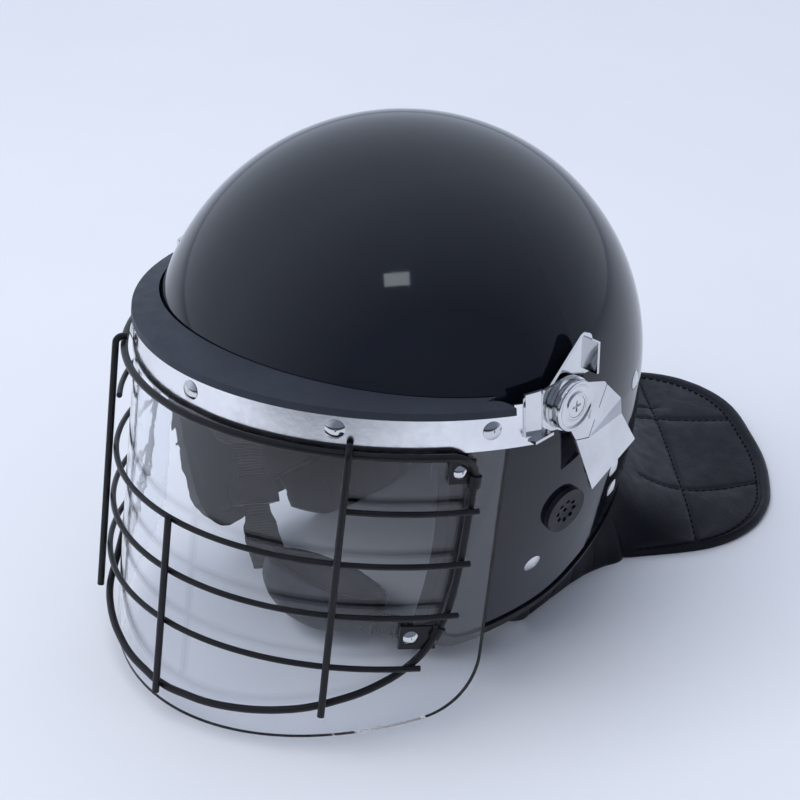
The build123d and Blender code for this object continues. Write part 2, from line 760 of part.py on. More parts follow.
# Arms from the band ends to the pivots, with a folded tab below
arm = side_plate(
    [
        (0, 0, arm_radius),
        (-arm_turn + plate_wall, arm_top_rise - plate_wall, plate_wall),
        (-arm_turn + plate_wall, -arm_low_drop + plate_wall, plate_wall),
    ],
    arm_inner,
    plate_wall,
)
arm_gap = face_gap + plate_wall
tongue = visor_wall(band_half_width + arm_gap, band_half_length + arm_gap, plate_wall, -far, far)
arm_low = pivot_height - arm_low_drop
arm_top = pivot_height + arm_top_rise
tongue = tongue & slab(-arm_front, -arm_turn + plate_wall, arm_low, arm_top)
tongue = tongue & Pos(far, 0, 0) * Box(2 * far, far, far)
arm_tab = Pos(
    arm_inner + (plate_wall + arm_tab_reach) / 2,
    -arm_front + arm_tab_length / 2,
    arm_low - plate_wall / 2 + lay_gap,
) * Box(plate_wall + arm_tab_reach, arm_tab_length, plate_wall)
arm = arm + tongue + arm_tab - pivot_disc(pivot_hole_radius, 0, far)

# Brow seal: a flange behind the lens, a bead over the band and a brim up to the dome
flange_half_width = lens_half_width - lens_wall - lay_gap
flange_half_length = lens_half_length - lens_wall - lay_gap
bead_low = band_top_rise + lay_gap
bead_half_width = band_half_width + seal_bead_out
bead_half_length = band_half_length + seal_bead_out
bead_wall = bead_half_width - flange_half_width + seal_flange_wall
seal = visor_wall(
    flange_half_width, flange_half_length, seal_flange_wall, seal_flange_low_rise, seal_bead_rise
)
seal = seal + visor_wall(bead_half_width, bead_half_length, bead_wall, bead_low, seal_bead_rise)


# Frustum of the seal's brim, lowered by a drop
def brim_cone(drop):
    sections = []
    for rise, draw in ((seal_bead_rise, 0), (seal_bead_rise + seal_brim_rise, seal_brim_draw)):
        start = Vector(0, visor_centre_back, visor_centre_height) - down * (rise - drop)
        level = Plane(origin=start, x_dir=(1, 0, 0), z_dir=(0, math.sin(tilt), math.cos(tilt)))
        sections.append(level * Ellipse(bead_half_width - draw, bead_half_length - draw))
    return loft(sections)


seal = seal + (brim_cone(0) - brim_cone(seal_wall))
seal = seal - egg(-seal_dome_gap)
seal = seal & slab(-far, -seal_end_ahead, -far, far)
corner_place = seal_corner_side + seal_end_radius
seal_corner = Pos(corner_place - seal_end_radius / 2, -seal_end_ahead - seal_end_radius / 2, 0) * Box(
    seal_end_radius, seal_end_radius, 2 * far
)
seal_corner = seal_corner - Pos(corner_place, -seal_end_ahead - seal_end_radius, 0) * Cylinder(
    seal_end_radius, 2 * far
)
for cut in both_sides(seal_corner):
    seal = seal - cut

# Band rivets through band, lens and seal
band_rivets = []
rivet_grip = band_wall + lens_wall + seal_flange_wall + 2 * lay_gap
for angle in band_rivet_angles:
    place = visor_plane(band_half_width, band_half_length, face_gap, angle, -band_rivet_rise)
    hole = place * Cylinder(rivet_shank_radius + rivet_hole_gap, 4 * rivet_grip)
    band = band - hole
    lens = lens - hole
    seal = seal - hole
    band_rivets.append(rivet(place, rivet_head_radius, rivet_head_rise, rivet_grip + face_gap))
nodes["visor_band"] = band
nodes["brow_seal"] = seal
nodes["band_rivets"] = Compound(band_rivets)

# Wire grille: crossbars on the ellipse, frame inside their ends, uprights outside
bar_half_width = lens_half_width + grille_stand_off
bar_half_length = lens_half_length + grille_stand_off
frame_flat_out = bar_radius - frame_radius
frame_side_out = -(bar_radius + frame_radius + weld_gap)
upright_out = bar_radius + upright_radius + weld_gap


def on_grille(out, angle, drop):
    return visor_point(bar_half_width, bar_half_length, out, angle, drop)


top_points = [on_grille(frame_flat_out, angle, 0) for angle in frame_top_angles]
side_places = zip(frame_side_angles, frame_side_drops)
side_points = [on_grille(frame_side_out, angle, drop) for angle, drop in side_places]
low_places = zip(frame_low_angles, frame_low_drops)
low_points = [on_grille(frame_flat_out, angle, drop) for angle, drop in low_places]
frame_points = [Vector(0, top_points[0].Y, top_points[0].Z), *top_points, *side_points, *low_points]
frame_points.append(Vector(0, low_points[-1].Y, low_points[-1].Z))
frame_half = wire_along(frame_points, frame_radius)
frame_room = wire_along(frame_points, frame_radius + clip_wire_gap)
nodes["grille_frame"] = frame_half + mirror(frame_half, about=Plane.YZ)
bars = []
for row, (drop, end_angle) in enumerate(zip(bar_drops, bar_end_angles)):
    start_angle = upright_angle if row == 0 else frame_top_angles[0]
    spans = max(round((end_angle - start_angle) / bar_step_angle), 2)
    steps = [start_angle + (end_angle - start_angle) * step / spans for step in range(spans + 1)]
    right = [on_grille(0, angle, drop) for angle in steps]
    left = [Vector(-point.X, point.Y, point.Z) for point in reversed(right)]
    if row == 0:
        bars.extend([wire_along(right, bar_radius), wire_along(left, bar_radius)])
    else:
        bars.append(wire_along(left + right, bar_radius))
nodes["grille_crossbars"] = Compound(bars)

# Uprights, the outer pair hooked over the top wire
hug_radius = frame_radius + upright_radius + weld_gap
uprights = []
mid_top = on_grille(upright_out, 0, bar_drops[1] - upright_top_rise)
uprights.append(wire_between(mid_top, on_grille(upright_out, 0, upright_mid_drop), upright_radius))
hook_top = on_grille(upright_out, upright_angle, -hug_radius)
hook_end = on_grille(frame_flat_out - upright_radius, upright_angle, -hug_radius)
hook_low = on_grille(upright_out, upright_angle, upright_side_drop)
hook_path = FilletPolyline(hook_end, hook_top, hook_low, radius=hug_radius)
hook = sweep(Plane(origin=hook_end, z_dir=hook_top - hook_end) * Circle(upright_radius), path=hook_path)
uprights.extend(both_sides(hook))
nodes["grille_uprights"] = Compound(uprights)

# Clips: a plate on the lens with a sleeve round the side wire and a rivet through both
clips = []
clip_rivets = []
lens_room_start = Vector(0, visor_centre_back, visor_centre_height) - down * far
lens_room_plane = Plane(origin=lens_room_start, x_dir=(1, 0, 0), z_dir=(0, math.sin(tilt), math.cos(tilt)))
lens_room = Ellipse(lens_half_width + lay_gap, lens_half_length + lay_gap)
lens_room = extrude(lens_room_plane * lens_room, amount=2 * far, dir=down)
for angle, drop, run, share in zip(clip_angles, clip_drops, clip_frame_runs, clip_frame_run_shares):
    run_start = side_points[run]
    run_way = side_points[run + 1] - run_start
    grip = run_start + run_way * share
    seat_plane = visor_plane(lens_half_width, lens_half_length, lay_gap, angle, drop)
    rise = seat_plane.to_local_coords(grip)
    plate_low = clip_half_width
    plate = seat_plane * Pos(0, (rise.Y - math.copysign(plate_low, rise.Y)) / 2, clip_plate_wall / 2) * Box(
        2 * clip_half_height, abs(rise.Y) + plate_low, clip_plate_wall
    )
    sleeve_plane = Plane(origin=grip, z_dir=run_way)
    sleeve_radius = frame_radius + clip_wire_gap + clip_sleeve_wall
    sleeve_length = 2 * clip_half_height - 2 * sleeve_radius
    sleeve = sleeve_plane * Cylinder(sleeve_radius, sleeve_length)
    clip = plate + sleeve - frame_room - lens_room
    place = seat_plane * Pos(0, 0, clip_plate_wall + face_gap)
    hole = seat_plane * Cylinder(rivet_shank_radius + rivet_hole_gap, 4 * rivet_grip)
    shank = clip_plate_wall + lens_wall + lay_gap + face_gap
    stud = rivet(place, clip_rivet_radius, clip_rivet_rise, shank)
    for way_clip, way_hole, way_stud in zip(both_sides(clip - hole), both_sides(hole), both_sides(stud)):
        lens = lens - way_hole
        clips.append(way_clip)
        clip_rivets.append(way_stud)
nodes["visor_lens"] = lens
nodes["grille_clips"] = Compound(clips)
nodes["clip_rivets"] = Compound(clip_rivets)


# Chin strap on the left: from the shell rivet down the cheek, round the jaw and to the cup
strap_seat = rivet_seats[0]
strap_out = strap_seat.z_dir
strap_anchor = strap_seat.origin - strap_out * (shell_wall + web_wall / 2 + lay_gap + soft_gap)
strap_turn = Vector(strap_turn_half, strap_turn_back, strap_turn_level)
strap_cup = Vector(strap_cup_half, strap_cup_back, strap_cup_level)
wall_up = (Vector(0, 0, 1) - strap_out * strap_out.Z).normalized()
strap_path = FilletPolyline(strap_anchor, strap_turn, strap_cup, radius=strap_bend)
last_run = (strap_cup - strap_turn).normalized()
low_facing = (Vector(0, 0, -1) + last_run * last_run.Z).normalized()
buckle_half_share = buckle_length / 2 / strap_path.length
socket_share = buckle_share - buckle_half_share
insert_share = buckle_share + buckle_half_share


# Plane of the strap at a share of its path: width along x, facing along y, way along z
def strap_place(share):
    way = (strap_path % share).normalized()
    blend = min(max((share - insert_share) / (strap_twist_share - insert_share), 0), 1)
    facing = strap_out * (1 - blend) + low_facing * blend
    facing = (facing - way * facing.dot(way)).normalized()
    return Plane(origin=strap_path @ share, x_dir=facing.cross(way), z_dir=way)


# Corner points of the strap's section in a plane, grown by a margin
def strap_section(place, margin):
    side = web_width / 2 + margin
    face = web_wall / 2 + margin
    corners = ((-side, -face), (side, -face), (side, face), (-side, face))
    return [place.from_local_coords(Vector(x, y, 0)) for x, y in corners]


# Stretch of strap between two shares of its path
def strap_stretch(start, end, margin=0):
    shares = [start + (end - start) * step / strap_steps for step in range(strap_steps + 1)]
    return skin([strap_section(strap_place(share), margin) for share in shares])


# Tail of strap above the rivet, flat against the shell
def strap_tail(margin=0):
    first = strap_place(0)
    tail_across = (first.x_dir - wall_up * first.x_dir.dot(wall_up)).normalized()
    tail_top = strap_anchor + wall_up * (strap_top_rise + margin)
    top = Plane(origin=tail_top, x_dir=tail_across, z_dir=wall_up * -1)
    return skin([strap_section(top, margin), strap_section(first, margin)])


cup_centre = Pos(cup_side, -cup_ahead, cup_level)
cup_room = cup_centre * scale(
    Sphere(1), by=(cup_half_width + lay_gap, cup_half_length + lay_gap, cup_half_height + lay_gap)
)
strap_hole = strap_seat * Cylinder(rivet_shank_radius + rivet_hole_gap, 4 * shell_wall)
strap_room = strap_stretch(0, 1, soft_gap) + strap_tail(soft_gap)
upper_strap = strap_stretch(0, socket_share + buckle_bar_wall / strap_path.length) + strap_tail() - strap_hole
lower_strap = strap_stretch(insert_share - buckle_shell_wall / strap_path.length, 1) - cup_room
nodes["strap_left_upper"] = upper_strap
nodes["strap_left_lower"] = lower_strap
right_strap = strap_stretch(0, 1) + strap_tail() - strap_hole
nodes["strap_right"] = mirror(right_strap, about=Plane.YZ) - cup_room
for side_name, room in zip(("left", "right"), both_sides(strap_room)):
    nodes["cheek_pad_" + side_name] = nodes["cheek_pad_" + side_name] - room

# Side release buckle on the left strap: socket, insert and two prongs
buckle_place = strap_place(buckle_share)
socket_length = buckle_length - insert_length
socket = Pos(0, 0, -buckle_length / 2 + socket_length / 2) * Box(buckle_width, buckle_wall, socket_length)
cavity_width = buckle_width - 2 * buckle_shell_wall
cavity_wall = buckle_wall - 2 * buckle_shell_wall
cavity = Pos(0, 0, -buckle_length / 2 + buckle_bar_wall + socket_length / 2) * Box(
    cavity_width, cavity_wall, socket_length
)
web_slot = Box(web_width + 2 * web_slot_gap, web_wall + 2 * web_slot_gap, 2 * buckle_length)
window = Pos(0, 0, -buckle_length / 2 + buckle_bar_wall + prong_wall) * Box(
    buckle_width + overrun, prong_wall + 2 * prong_gap, 2 * prong_wall
)
socket = socket - cavity - (web_slot & Pos(0, 0, -buckle_length) * Box(far, far, 2 * buckle_length))
socket = socket - (window - Box(cavity_width - 2 * prong_width, far, far))
insert_top = buckle_length / 2 - insert_length + face_gap
insert = Pos(0, 0, buckle_length / 2 - insert_length / 2 + face_gap / 2) * Box(
    buckle_width, buckle_wall - buckle_shell_wall, insert_length - face_gap
)
tongue_length = socket_length - buckle_bar_wall - 2 * prong_gap
guide = Pos(0, 0, insert_top - tongue_length / 2) * Box(2 * prong_width, prong_wall, tongue_length)
insert_slot = web_slot & Pos(0, 0, buckle_length) * Box(far, far, 2 * buckle_length - insert_length)
prong_root_room = Pos(0, 0, insert_top) * Box(
    cavity_width, prong_wall + 2 * prong_gap, 2 * (prong_length - tongue_length)
)
insert = insert - (prong_root_room - Box(2 * prong_width + prong_wall, far, far)) + guide - insert_slot
prong_side = cavity_width / 2 - prong_gap - prong_width / 2
prong_foot = insert_top + (prong_length - tongue_length) - prong_gap
prong = Pos(prong_side, 0, prong_foot - prong_length / 2) * Box(prong_width, prong_wall, prong_length)
barb = Pos(prong_side + prong_width / 2, 0, -buckle_length / 2 + buckle_bar_wall + prong_wall) * Box(
    2 * (buckle_shell_wall + prong_gap) - face_gap, prong_wall, 2 * prong_wall - 2 * prong_gap
)
prong = prong + barb
nodes["buckle_socket"] = buckle_place * socket
nodes["buckle_insert"] = buckle_place * insert
nodes["buckle_prong_back"] = buckle_place * prong
nodes["buckle_prong_front"] = buckle_place * mirror(prong, about=Plane.YZ)

# Strap slider on the right
slider_box = Box(web_width + 2 * slider_wall / 2 + slider_wall, slider_wall, slider_length)
slider = slider_box - Box(web_width + 2 * web_slot_gap, web_wall + 2 * web_slot_gap, 2 * slider_length)
nodes["strap_slider"] = mirror(buckle_place * slider, about=Plane.YZ)

# Chin cup, open upwards and to the back
cup_sizes = (cup_half_width, cup_half_length, cup_half_height)
cup_hollow = scale(Sphere(1), by=tuple(size - cup_wall for size in cup_sizes))
cup = scale(Sphere(1), by=cup_sizes) - cup_hollow
cup_cut = Pos(0, 0, cup_cut_rise) * Rot(-cup_cut_angle, 0, 0) * Pos(0, 0, far / 2) * Box(far, far, far)
nodes["chin_cup"] = cup_centre * (cup - cup_cut)

# Apron of the neck guard: radial sections with a crown between the seams
def guard_section(share):
    angle = share * guard_angle
    size = abs(share)
    reach = guard_reach * between(guard_angle_shares, guard_reach_shares, size)
    rim = rim_in_direction(angle)
    top = rim + guard_rim_tuck
    inset = shell_wall + trim_wall + guard_rim_gap + guard_wall / 2
    rim_start = shell_reach(angle, rim, inset)
    hem_level = guard_wall / 2 - guard_flat_cut + guard_arch * math.cos(math.pi / 2 * min(2 * size, 1)) ** 2
    leave = rim - trim_lip - guard_rim_gap - guard_wall / 2 - guard_crown
    centres = [(shell_reach(angle, top, inset), top), (rim_start, leave)]
    for row, fall in zip(guard_row_shares[1:], guard_fall_shares[1:]):
        centres.append((rim_start + (reach - rim_start) * row, hem_level + (leave - hem_level) * fall))
    low_seam = -guard_seam_shares[0]
    high_seam = guard_seam_shares[0]
    for seam, after in zip(guard_seam_shares, guard_seam_shares[1:]):
        if size >= seam:
            low_seam = seam
            high_seam = after
    across = math.sin(math.pi * (size - low_seam) / (high_seam - low_seam))
    upper = []
    lower = []
    for row, (reach_here, level) in enumerate(centres):
        before = centres[max(row - 1, 0)]
        after = centres[min(row + 1, len(centres) - 1)]
        run = (after[0] - before[0], after[1] - before[1])
        size_run = math.hypot(*run)
        normal = (-run[1] / size_run, run[0] / size_run)
        along = 0
        place = guard_row_shares[row - 1] if row else 0
        if 0 < place < guard_mid_seam_share:
            along = math.sin(math.pi * place / guard_mid_seam_share)
        if guard_mid_seam_share < place < guard_hem_seam_share:
            part = (place - guard_mid_seam_share) / (guard_hem_seam_share - guard_mid_seam_share)
            along = math.sin(math.pi * part)
        swell = guard_wall / 2 + guard_crown * math.sqrt(max(along * across, 0))
        upper.append(radial(angle, reach_here + normal[0] * swell, level + normal[1] * swell))
        half = guard_wall / 2
        lower.append(radial(angle, reach_here - normal[0] * half, level - normal[1] * half))
    return upper + lower[::-1]


side_shares = [-share for share in reversed(guard_section_shares[1:])] + list(guard_section_shares)
apron = skin([guard_section(share) for share in side_shares])
floor = Pos(0, 0, -far / 2) * Box(4 * far, 4 * far, far)
nodes["neck_guard"] = apron - floor


# Section of a side curtain, from inside the shell edge down to the table
def wing_section(angle, draw):
    rim = rim_in_direction(angle)
    top = rim + guard_rim_tuck
    inset = shell_wall + trim_wall + guard_rim_gap + wing_wall / 2 + wing_crown
    rim_reach = shell_reach(angle, rim, inset)
    top_reach = shell_reach(angle, top, inset)
    foot_reach = rim_reach - draw
    centres = [(top_reach, top)]
    for share in wing_row_shares:
        centres.append((rim_reach + (foot_reach - rim_reach) * share, rim - (rim + guard_flat_cut) * share))
    crowns = (0,) + wing_row_crown_shares
    outside = []
    inside = []
    for (reach, level), crown in zip(centres, crowns):
        half = wing_wall / 2 + wing_crown * crown
        outside.append(radial(angle, reach + half, level))
        inside.append(radial(angle, reach - half, level))
    return outside + inside[::-1]


wing = skin([wing_section(angle, draw) for angle, draw in zip(wing_angles, wing_foot_draws)]) - floor
wing_left, wing_right = both_sides(wing)
nodes["neck_wing_left"] = wing_left
nodes["neck_wing_right"] = wing_right

for name, piece in pivot_pieces.items():
    nodes[name + "s"] = Compound(both_sides(piece))
nodes["lever_roots"] = Compound(both_sides(root))
lever_left, lever_right = both_sides(lever)
nodes["release_lever_left"] = lever_left
nodes["release_lever_right"] = lever_right
nodes["hinge_arms"] = Compound(both_sides(arm))

# Centre the whole helmet fore and aft, then write one file per piece
reach = Compound(list(nodes.values())).bounding_box()
middle = Pos(0, -(reach.min.Y + reach.max.Y) / 2, 0)
os.makedirs("parts", exist_ok=True)
for name, shape in nodes.items():
    export_step(middle * shape, f"parts/{name}.step")
pivot_place = middle.position
print(f"pivot axis at y {pivot_place.Y:.4f}, z {pivot_height:.4f}")
print("lever bend line from", bend_low + pivot_place, "to", bend_top + pivot_place)
for name, side in (("back", 1), ("front", -1)):
    hinge = buckle_place.from_local_coords(Vector(side * prong_side, 0, prong_foot)) + pivot_place
    print(f"prong {name} pivot", hinge, "axis", buckle_place.y_dir)
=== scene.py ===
import bisect
import math

import bmesh
import bpy
from mathutils import Matrix, Vector, noise


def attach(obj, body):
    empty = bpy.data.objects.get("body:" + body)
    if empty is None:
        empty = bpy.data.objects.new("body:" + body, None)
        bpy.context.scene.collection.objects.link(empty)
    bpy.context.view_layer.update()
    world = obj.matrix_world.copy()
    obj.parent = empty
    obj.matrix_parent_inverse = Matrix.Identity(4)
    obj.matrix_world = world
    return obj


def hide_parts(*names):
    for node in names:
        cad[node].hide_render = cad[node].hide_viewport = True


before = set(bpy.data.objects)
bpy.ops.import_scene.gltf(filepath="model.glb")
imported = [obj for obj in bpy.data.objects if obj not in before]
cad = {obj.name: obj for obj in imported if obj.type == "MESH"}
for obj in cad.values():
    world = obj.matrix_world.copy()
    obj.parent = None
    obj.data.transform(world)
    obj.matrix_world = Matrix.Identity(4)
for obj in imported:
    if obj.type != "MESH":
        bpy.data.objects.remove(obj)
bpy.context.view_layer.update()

# The helmet's sizes are in millimetres, named as in the part's source: across from the middle, back from the visor's
# pivot and up from the table. Pushes, stitches, noise and the stage are in metres.
PIVOT_BACK = -62.5635
SHELL_HALF_WIDTH = 123.5
SHELL_HALF_LENGTH = 130.0
DOME_CENTRE_HEIGHT = 140.6
DOME_CENTRE_BACK = 15.3
SHELL_WALL = 4.0
TRIM_WALL = 1.2
TRIM_LIP = 1.8
LAY_GAP = 0.15
SOFT_GAP = 0.4

# Share of a swelling or of its unevenness that is left at a seam
SEAM_LEFT = 0.35


def spot(x, y, z):
    """Point in metres in the shared frame."""
    return Vector((x, y + PIVOT_BACK, z)) * 0.001


def on_side(vector, mirrored):
    return Vector((-vector.x, vector.y, vector.z)) if mirrored else vector


def new_piece(name, mesh, body, material):
    piece = bpy.data.objects.new(name, mesh)
    bpy.context.scene.collection.objects.link(piece)
    mesh.materials.clear()
    mesh.materials.append(material)
    mesh.shade_smooth()
    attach(piece, body)
    return piece


# Materials


def blank(name):
    """New material, its node tree and its main shader."""
    material = bpy.data.materials.new(name)
    material.use_nodes = True
    tree = material.node_tree
    return material, tree, tree.nodes["Principled BSDF"]


def add(tree, kind, values=None, **settings):
    """New node, with sockets linked or set by values and its own settings."""
    node = tree.nodes.new(kind)
    for key, value in settings.items():
        setattr(node, key, value)
    for key, value in (values or {}).items():
        socket = node.inputs[key]
        if isinstance(value, bpy.types.NodeSocket):
            tree.links.new(value, socket)
        else:
            socket.default_value = value
    return node


def object_place(tree, stretch=None):
    """Object coordinates, stretched along the axes where asked."""
    place = add(tree, "ShaderNodeTexCoord").outputs["Object"]
    if stretch:
        place = add(tree, "ShaderNodeMapping", {"Vector": place, "Scale": stretch}).outputs["Vector"]
    return place


def grain(tree, scale, detail=4.0, stretch=None):
    """Noise at a scale in cells per metre."""
    place = object_place(tree, stretch)
    values = {"Vector": place, "Scale": scale, "Detail": detail, "Roughness": 0.6}
    return add(tree, "ShaderNodeTexNoise", values).outputs["Fac"]


def cells(tree, scale, feature="F1", stretch=None):
    """Distances in a cell pattern at a scale in cells per metre."""
    place = object_place(tree, stretch)
    made = add(tree, "ShaderNodeTexVoronoi", {"Vector": place, "Scale": scale}, feature=feature)
    return made.outputs["Distance"]


def spread(tree, value, low, high, start=0.35, end=0.65):
    """Value moved from the range start to end to the range low to high."""
    values = {"Value": value, "From Min": start, "From Max": end, "To Min": low, "To Max": high}
    return add(tree, "ShaderNodeMapRange", values).outputs["Result"]


def blend_colours(tree, value, low, high, start=0.35, end=0.65):
    factor = spread(tree, value, 0.0, 1.0, start, end)
    made = add(tree, "ShaderNodeMix", {"Factor": factor}, data_type="RGBA")
    made.inputs["A"].default_value = (*low, 1)
    made.inputs["B"].default_value = (*high, 1)
    return made.outputs["Result"]


def bump(tree, height, strength, distance, under=None):
    values = {"Height": height, "Strength": strength, "Distance": distance}
    if under is not None:
        values["Normal"] = under
    return add(tree, "ShaderNodeBump", values).outputs["Normal"]


def mix_surface(tree, factor, first, second):
    """Surface that goes from the first shader to the second with a factor."""
    mixed = add(tree, "ShaderNodeMixShader", {0: factor, 1: first, 2: second})
    tree.links.new(mixed.outputs["Shader"], tree.nodes["Material Output"].inputs["Surface"])


def finish(name, low, high, rough, patch=30.0, fine=900.0, fine_strength=0.15, fine_depth=0.0002, **sockets):
    """Material with colour patches, uneven roughness and a fine grain."""
    material, tree, shader = blank(name)
    tree.links.new(blend_colours(tree, grain(tree, patch), low, high), shader.inputs["Base Color"])
    wear = grain(tree, patch * 5, 6.0)
    tree.links.new(spread(tree, wear, *rough), shader.inputs["Roughness"])
    fine_grain = grain(tree, fine, 2.0)
    tree.links.new(bump(tree, fine_grain, fine_strength, fine_depth), shader.inputs["Normal"])
    for key, value in sockets.items():
        shader.inputs[key.replace("_", " ")].default_value = value
    return material


def plated(name, low, high, rough, fine_strength=0.05):
    return finish(name, low, high, rough, patch=45.0, fine=260.0, fine_strength=fine_strength, fine_depth=0.0003,
                  Metallic=1.0)


def leather(name, low, high, rough, scale, relief):
    """Leather with pebbles over long creases."""
    material, tree, shader = blank(name)
    tree.links.new(blend_colours(tree, grain(tree, 28.0), low, high), shader.inputs["Base Color"])
    pebbles = cells(tree, scale, "SMOOTH_F1")
    creases = cells(tree, scale * 0.16, "DISTANCE_TO_EDGE", (1.0, 1.6, 1.0))
    wear = grain(tree, 120.0, 6.0)
    tree.links.new(spread(tree, wear, *rough), shader.inputs["Roughness"])
    crease_normal = bump(tree, spread(tree, creases, 0.0, 1.0, 0.0, 0.08), 0.12, 0.0002)
    tree.links.new(bump(tree, pebbles, relief, 0.00025, crease_normal), shader.inputs["Normal"])
    shader.inputs["Specular IOR Level"].default_value = 0.16
    return material


def cloth(name, low, high, scale=1300.0):
    """Knitted cloth: stretched threads with fuzz over them."""
    material, tree, shader = blank(name)
    tree.links.new(blend_colours(tree, grain(tree, 60.0), low, high), shader.inputs["Base Color"])
    threads = grain(tree, scale, 3.0, (1.0, 1.0, 0.5))
    fuzz = grain(tree, 3600.0, 2.0)
    normal = bump(tree, threads, 0.12, 0.0003)
    tree.links.new(bump(tree, fuzz, 0.08, 0.0002, normal), shader.inputs["Normal"])
    tree.links.new(spread(tree, fuzz, 0.8, 0.95), shader.inputs["Roughness"])
    shader.inputs["Sheen Weight"].default_value = 0.25
    shader.inputs["Sheen Roughness"].default_value = 0.4
    return material


def webbing_material():
    """Ribs across the strap and fine threads along it, laid out on the strap's own UV in millimetres."""
    material, tree, shader = blank("strap_webbing")
    place = add(tree, "ShaderNodeUVMap", uv_map="strap").outputs["UV"]
    rib_values = {"Vector": place, "Scale": 0.19, "Distortion": 0.4, "Detail Scale": 2.0}
    ribs = add(tree, "ShaderNodeTexWave", rib_values, bands_direction="Y").outputs["Fac"]
    thread_values = {"Vector": place, "Scale": 0.42, "Distortion": 0.2}
    threads = add(tree, "ShaderNodeTexWave", thread_values, bands_direction="X").outputs["Fac"]
    tree.links.new(blend_colours(tree, ribs, (0.012, 0.012, 0.014), (0.05, 0.05, 0.055), 0.2, 0.9),
                   shader.inputs["Base Color"])
    normal = bump(tree, ribs, 0.8, 0.0006)
    tree.links.new(bump(tree, threads, 0.4, 0.0003, normal), shader.inputs["Normal"])
    tree.links.new(spread(tree, threads, 0.6, 0.8, 0.0, 1.0), shader.inputs["Roughness"])
    return material


def shell_material():
    """Black gloss paint with the faint waves of a moulded shell and a little dust outside, and primer inside."""
    material, tree, shader = blank("shell_paint")
    patches = grain(tree, 14.0)
    specks = cells(tree, 420.0)
    body = blend_colours(tree, patches, (0.004, 0.005, 0.009), (0.0055, 0.007, 0.0125))
    dust = add(tree, "ShaderNodeMix", {"Factor": spread(tree, specks, 1.0, 0.0, 0.03, 0.05)}, data_type="RGBA")
    tree.links.new(body, dust.inputs["A"])
    dust.inputs["B"].default_value = (0.02, 0.021, 0.026, 1)
    tree.links.new(dust.outputs["Result"], shader.inputs["Base Color"])
    smear = grain(tree, 55.0, 8.0)
    tree.links.new(spread(tree, smear, 0.045, 0.085), shader.inputs["Roughness"])
    waves = grain(tree, 34.0, 1.0)
    tree.links.new(bump(tree, waves, 0.05, 0.0008), shader.inputs["Normal"])
    inside = add(tree, "ShaderNodeBsdfPrincipled", {"Roughness": 0.6})
    primer = blend_colours(tree, grain(tree, 40.0), (0.011, 0.013, 0.019), (0.015, 0.017, 0.024))
    tree.links.new(primer, inside.inputs["Base Color"])
    place = object_place(tree)
    middle = spot(0, DOME_CENTRE_BACK, DOME_CENTRE_HEIGHT)
    outward = add(tree, "ShaderNodeVectorMath", {0: place, 1: tuple(middle)}, operation="SUBTRACT")
    facing = add(tree, "ShaderNodeNewGeometry").outputs["True Normal"]
    turned = add(tree, "ShaderNodeVectorMath", {0: outward.outputs["Vector"], 1: facing}, operation="DOT_PRODUCT")
    out = add(tree, "ShaderNodeMath", {0: turned.outputs["Value"], 1: 0.0}, operation="GREATER_THAN")
    mix_surface(tree, out.outputs["Value"], inside.outputs["BSDF"], shader.outputs["BSDF"])
    return material


def lens_material():
    """Clear polycarbonate that lets the lamps' light through."""
    material, tree, shader = blank("clear_shield")
    haze = grain(tree, 40.0, 6.0)
    tree.links.new(blend_colours(tree, haze, (0.96, 0.972, 0.996), (0.966, 0.978, 0.998)),
                   shader.inputs["Base Color"])
    tree.links.new(spread(tree, haze, 0.0, 0.02), shader.inputs["Roughness"])
    shader.inputs["Transmission Weight"].default_value = 1.0
    shader.inputs["IOR"].default_value = 1.45
    clear = add(tree, "ShaderNodeBsdfTransparent", {"Color": (0.95, 0.96, 0.98, 1)})
    ray = add(tree, "ShaderNodeLightPath")
    rays = {0: ray.outputs["Is Shadow Ray"], 1: ray.outputs["Is Diffuse Ray"]}
    soft = add(tree, "ShaderNodeMath", rays, operation="MAXIMUM")
    mix_surface(tree, soft.outputs["Value"], shader.outputs["BSDF"], clear.outputs["BSDF"])
    return material


def table_material():
    """Pale table. Past a distance on the camera's side, its reflections glow dark as a painted reflection of a dark
    room.
    """
    material, tree, shader = blank("pale_table")
    cloud = grain(tree, 3.0)
    tree.links.new(blend_colours(tree, cloud, (0.765, 0.78, 0.83), (0.785, 0.8, 0.845)),
                   shader.inputs["Base Color"])
    shader.inputs["Roughness"].default_value = 0.85
    shader.inputs["Specular IOR Level"].default_value = 0.15
    place = object_place(tree)
    away = add(tree, "ShaderNodeVectorMath", {0: place, 1: PAINTED_ROOM_WAY}, operation="DOT_PRODUCT").outputs["Value"]
    ray = add(tree, "ShaderNodeLightPath")
    factors = {0: spread(tree, away, 0.0, 1.0, *PAINTED_ROOM_START), 1: ray.outputs["Is Glossy Ray"]}
    painted_room_mask = add(tree, "ShaderNodeMath", factors, operation="MULTIPLY")
    # Painted reflection: glossy rays that reach the table past that distance see a dark glow in place of a dark room
    painted_room_reflection = add(tree, "ShaderNodeEmission", {"Color": (0.02, 0.023, 0.03, 1), "Strength": 1.0})
    mix_surface(tree, painted_room_mask.outputs["Value"], shader.outputs["BSDF"], painted_room_reflection.outputs["Emission"])
    return material


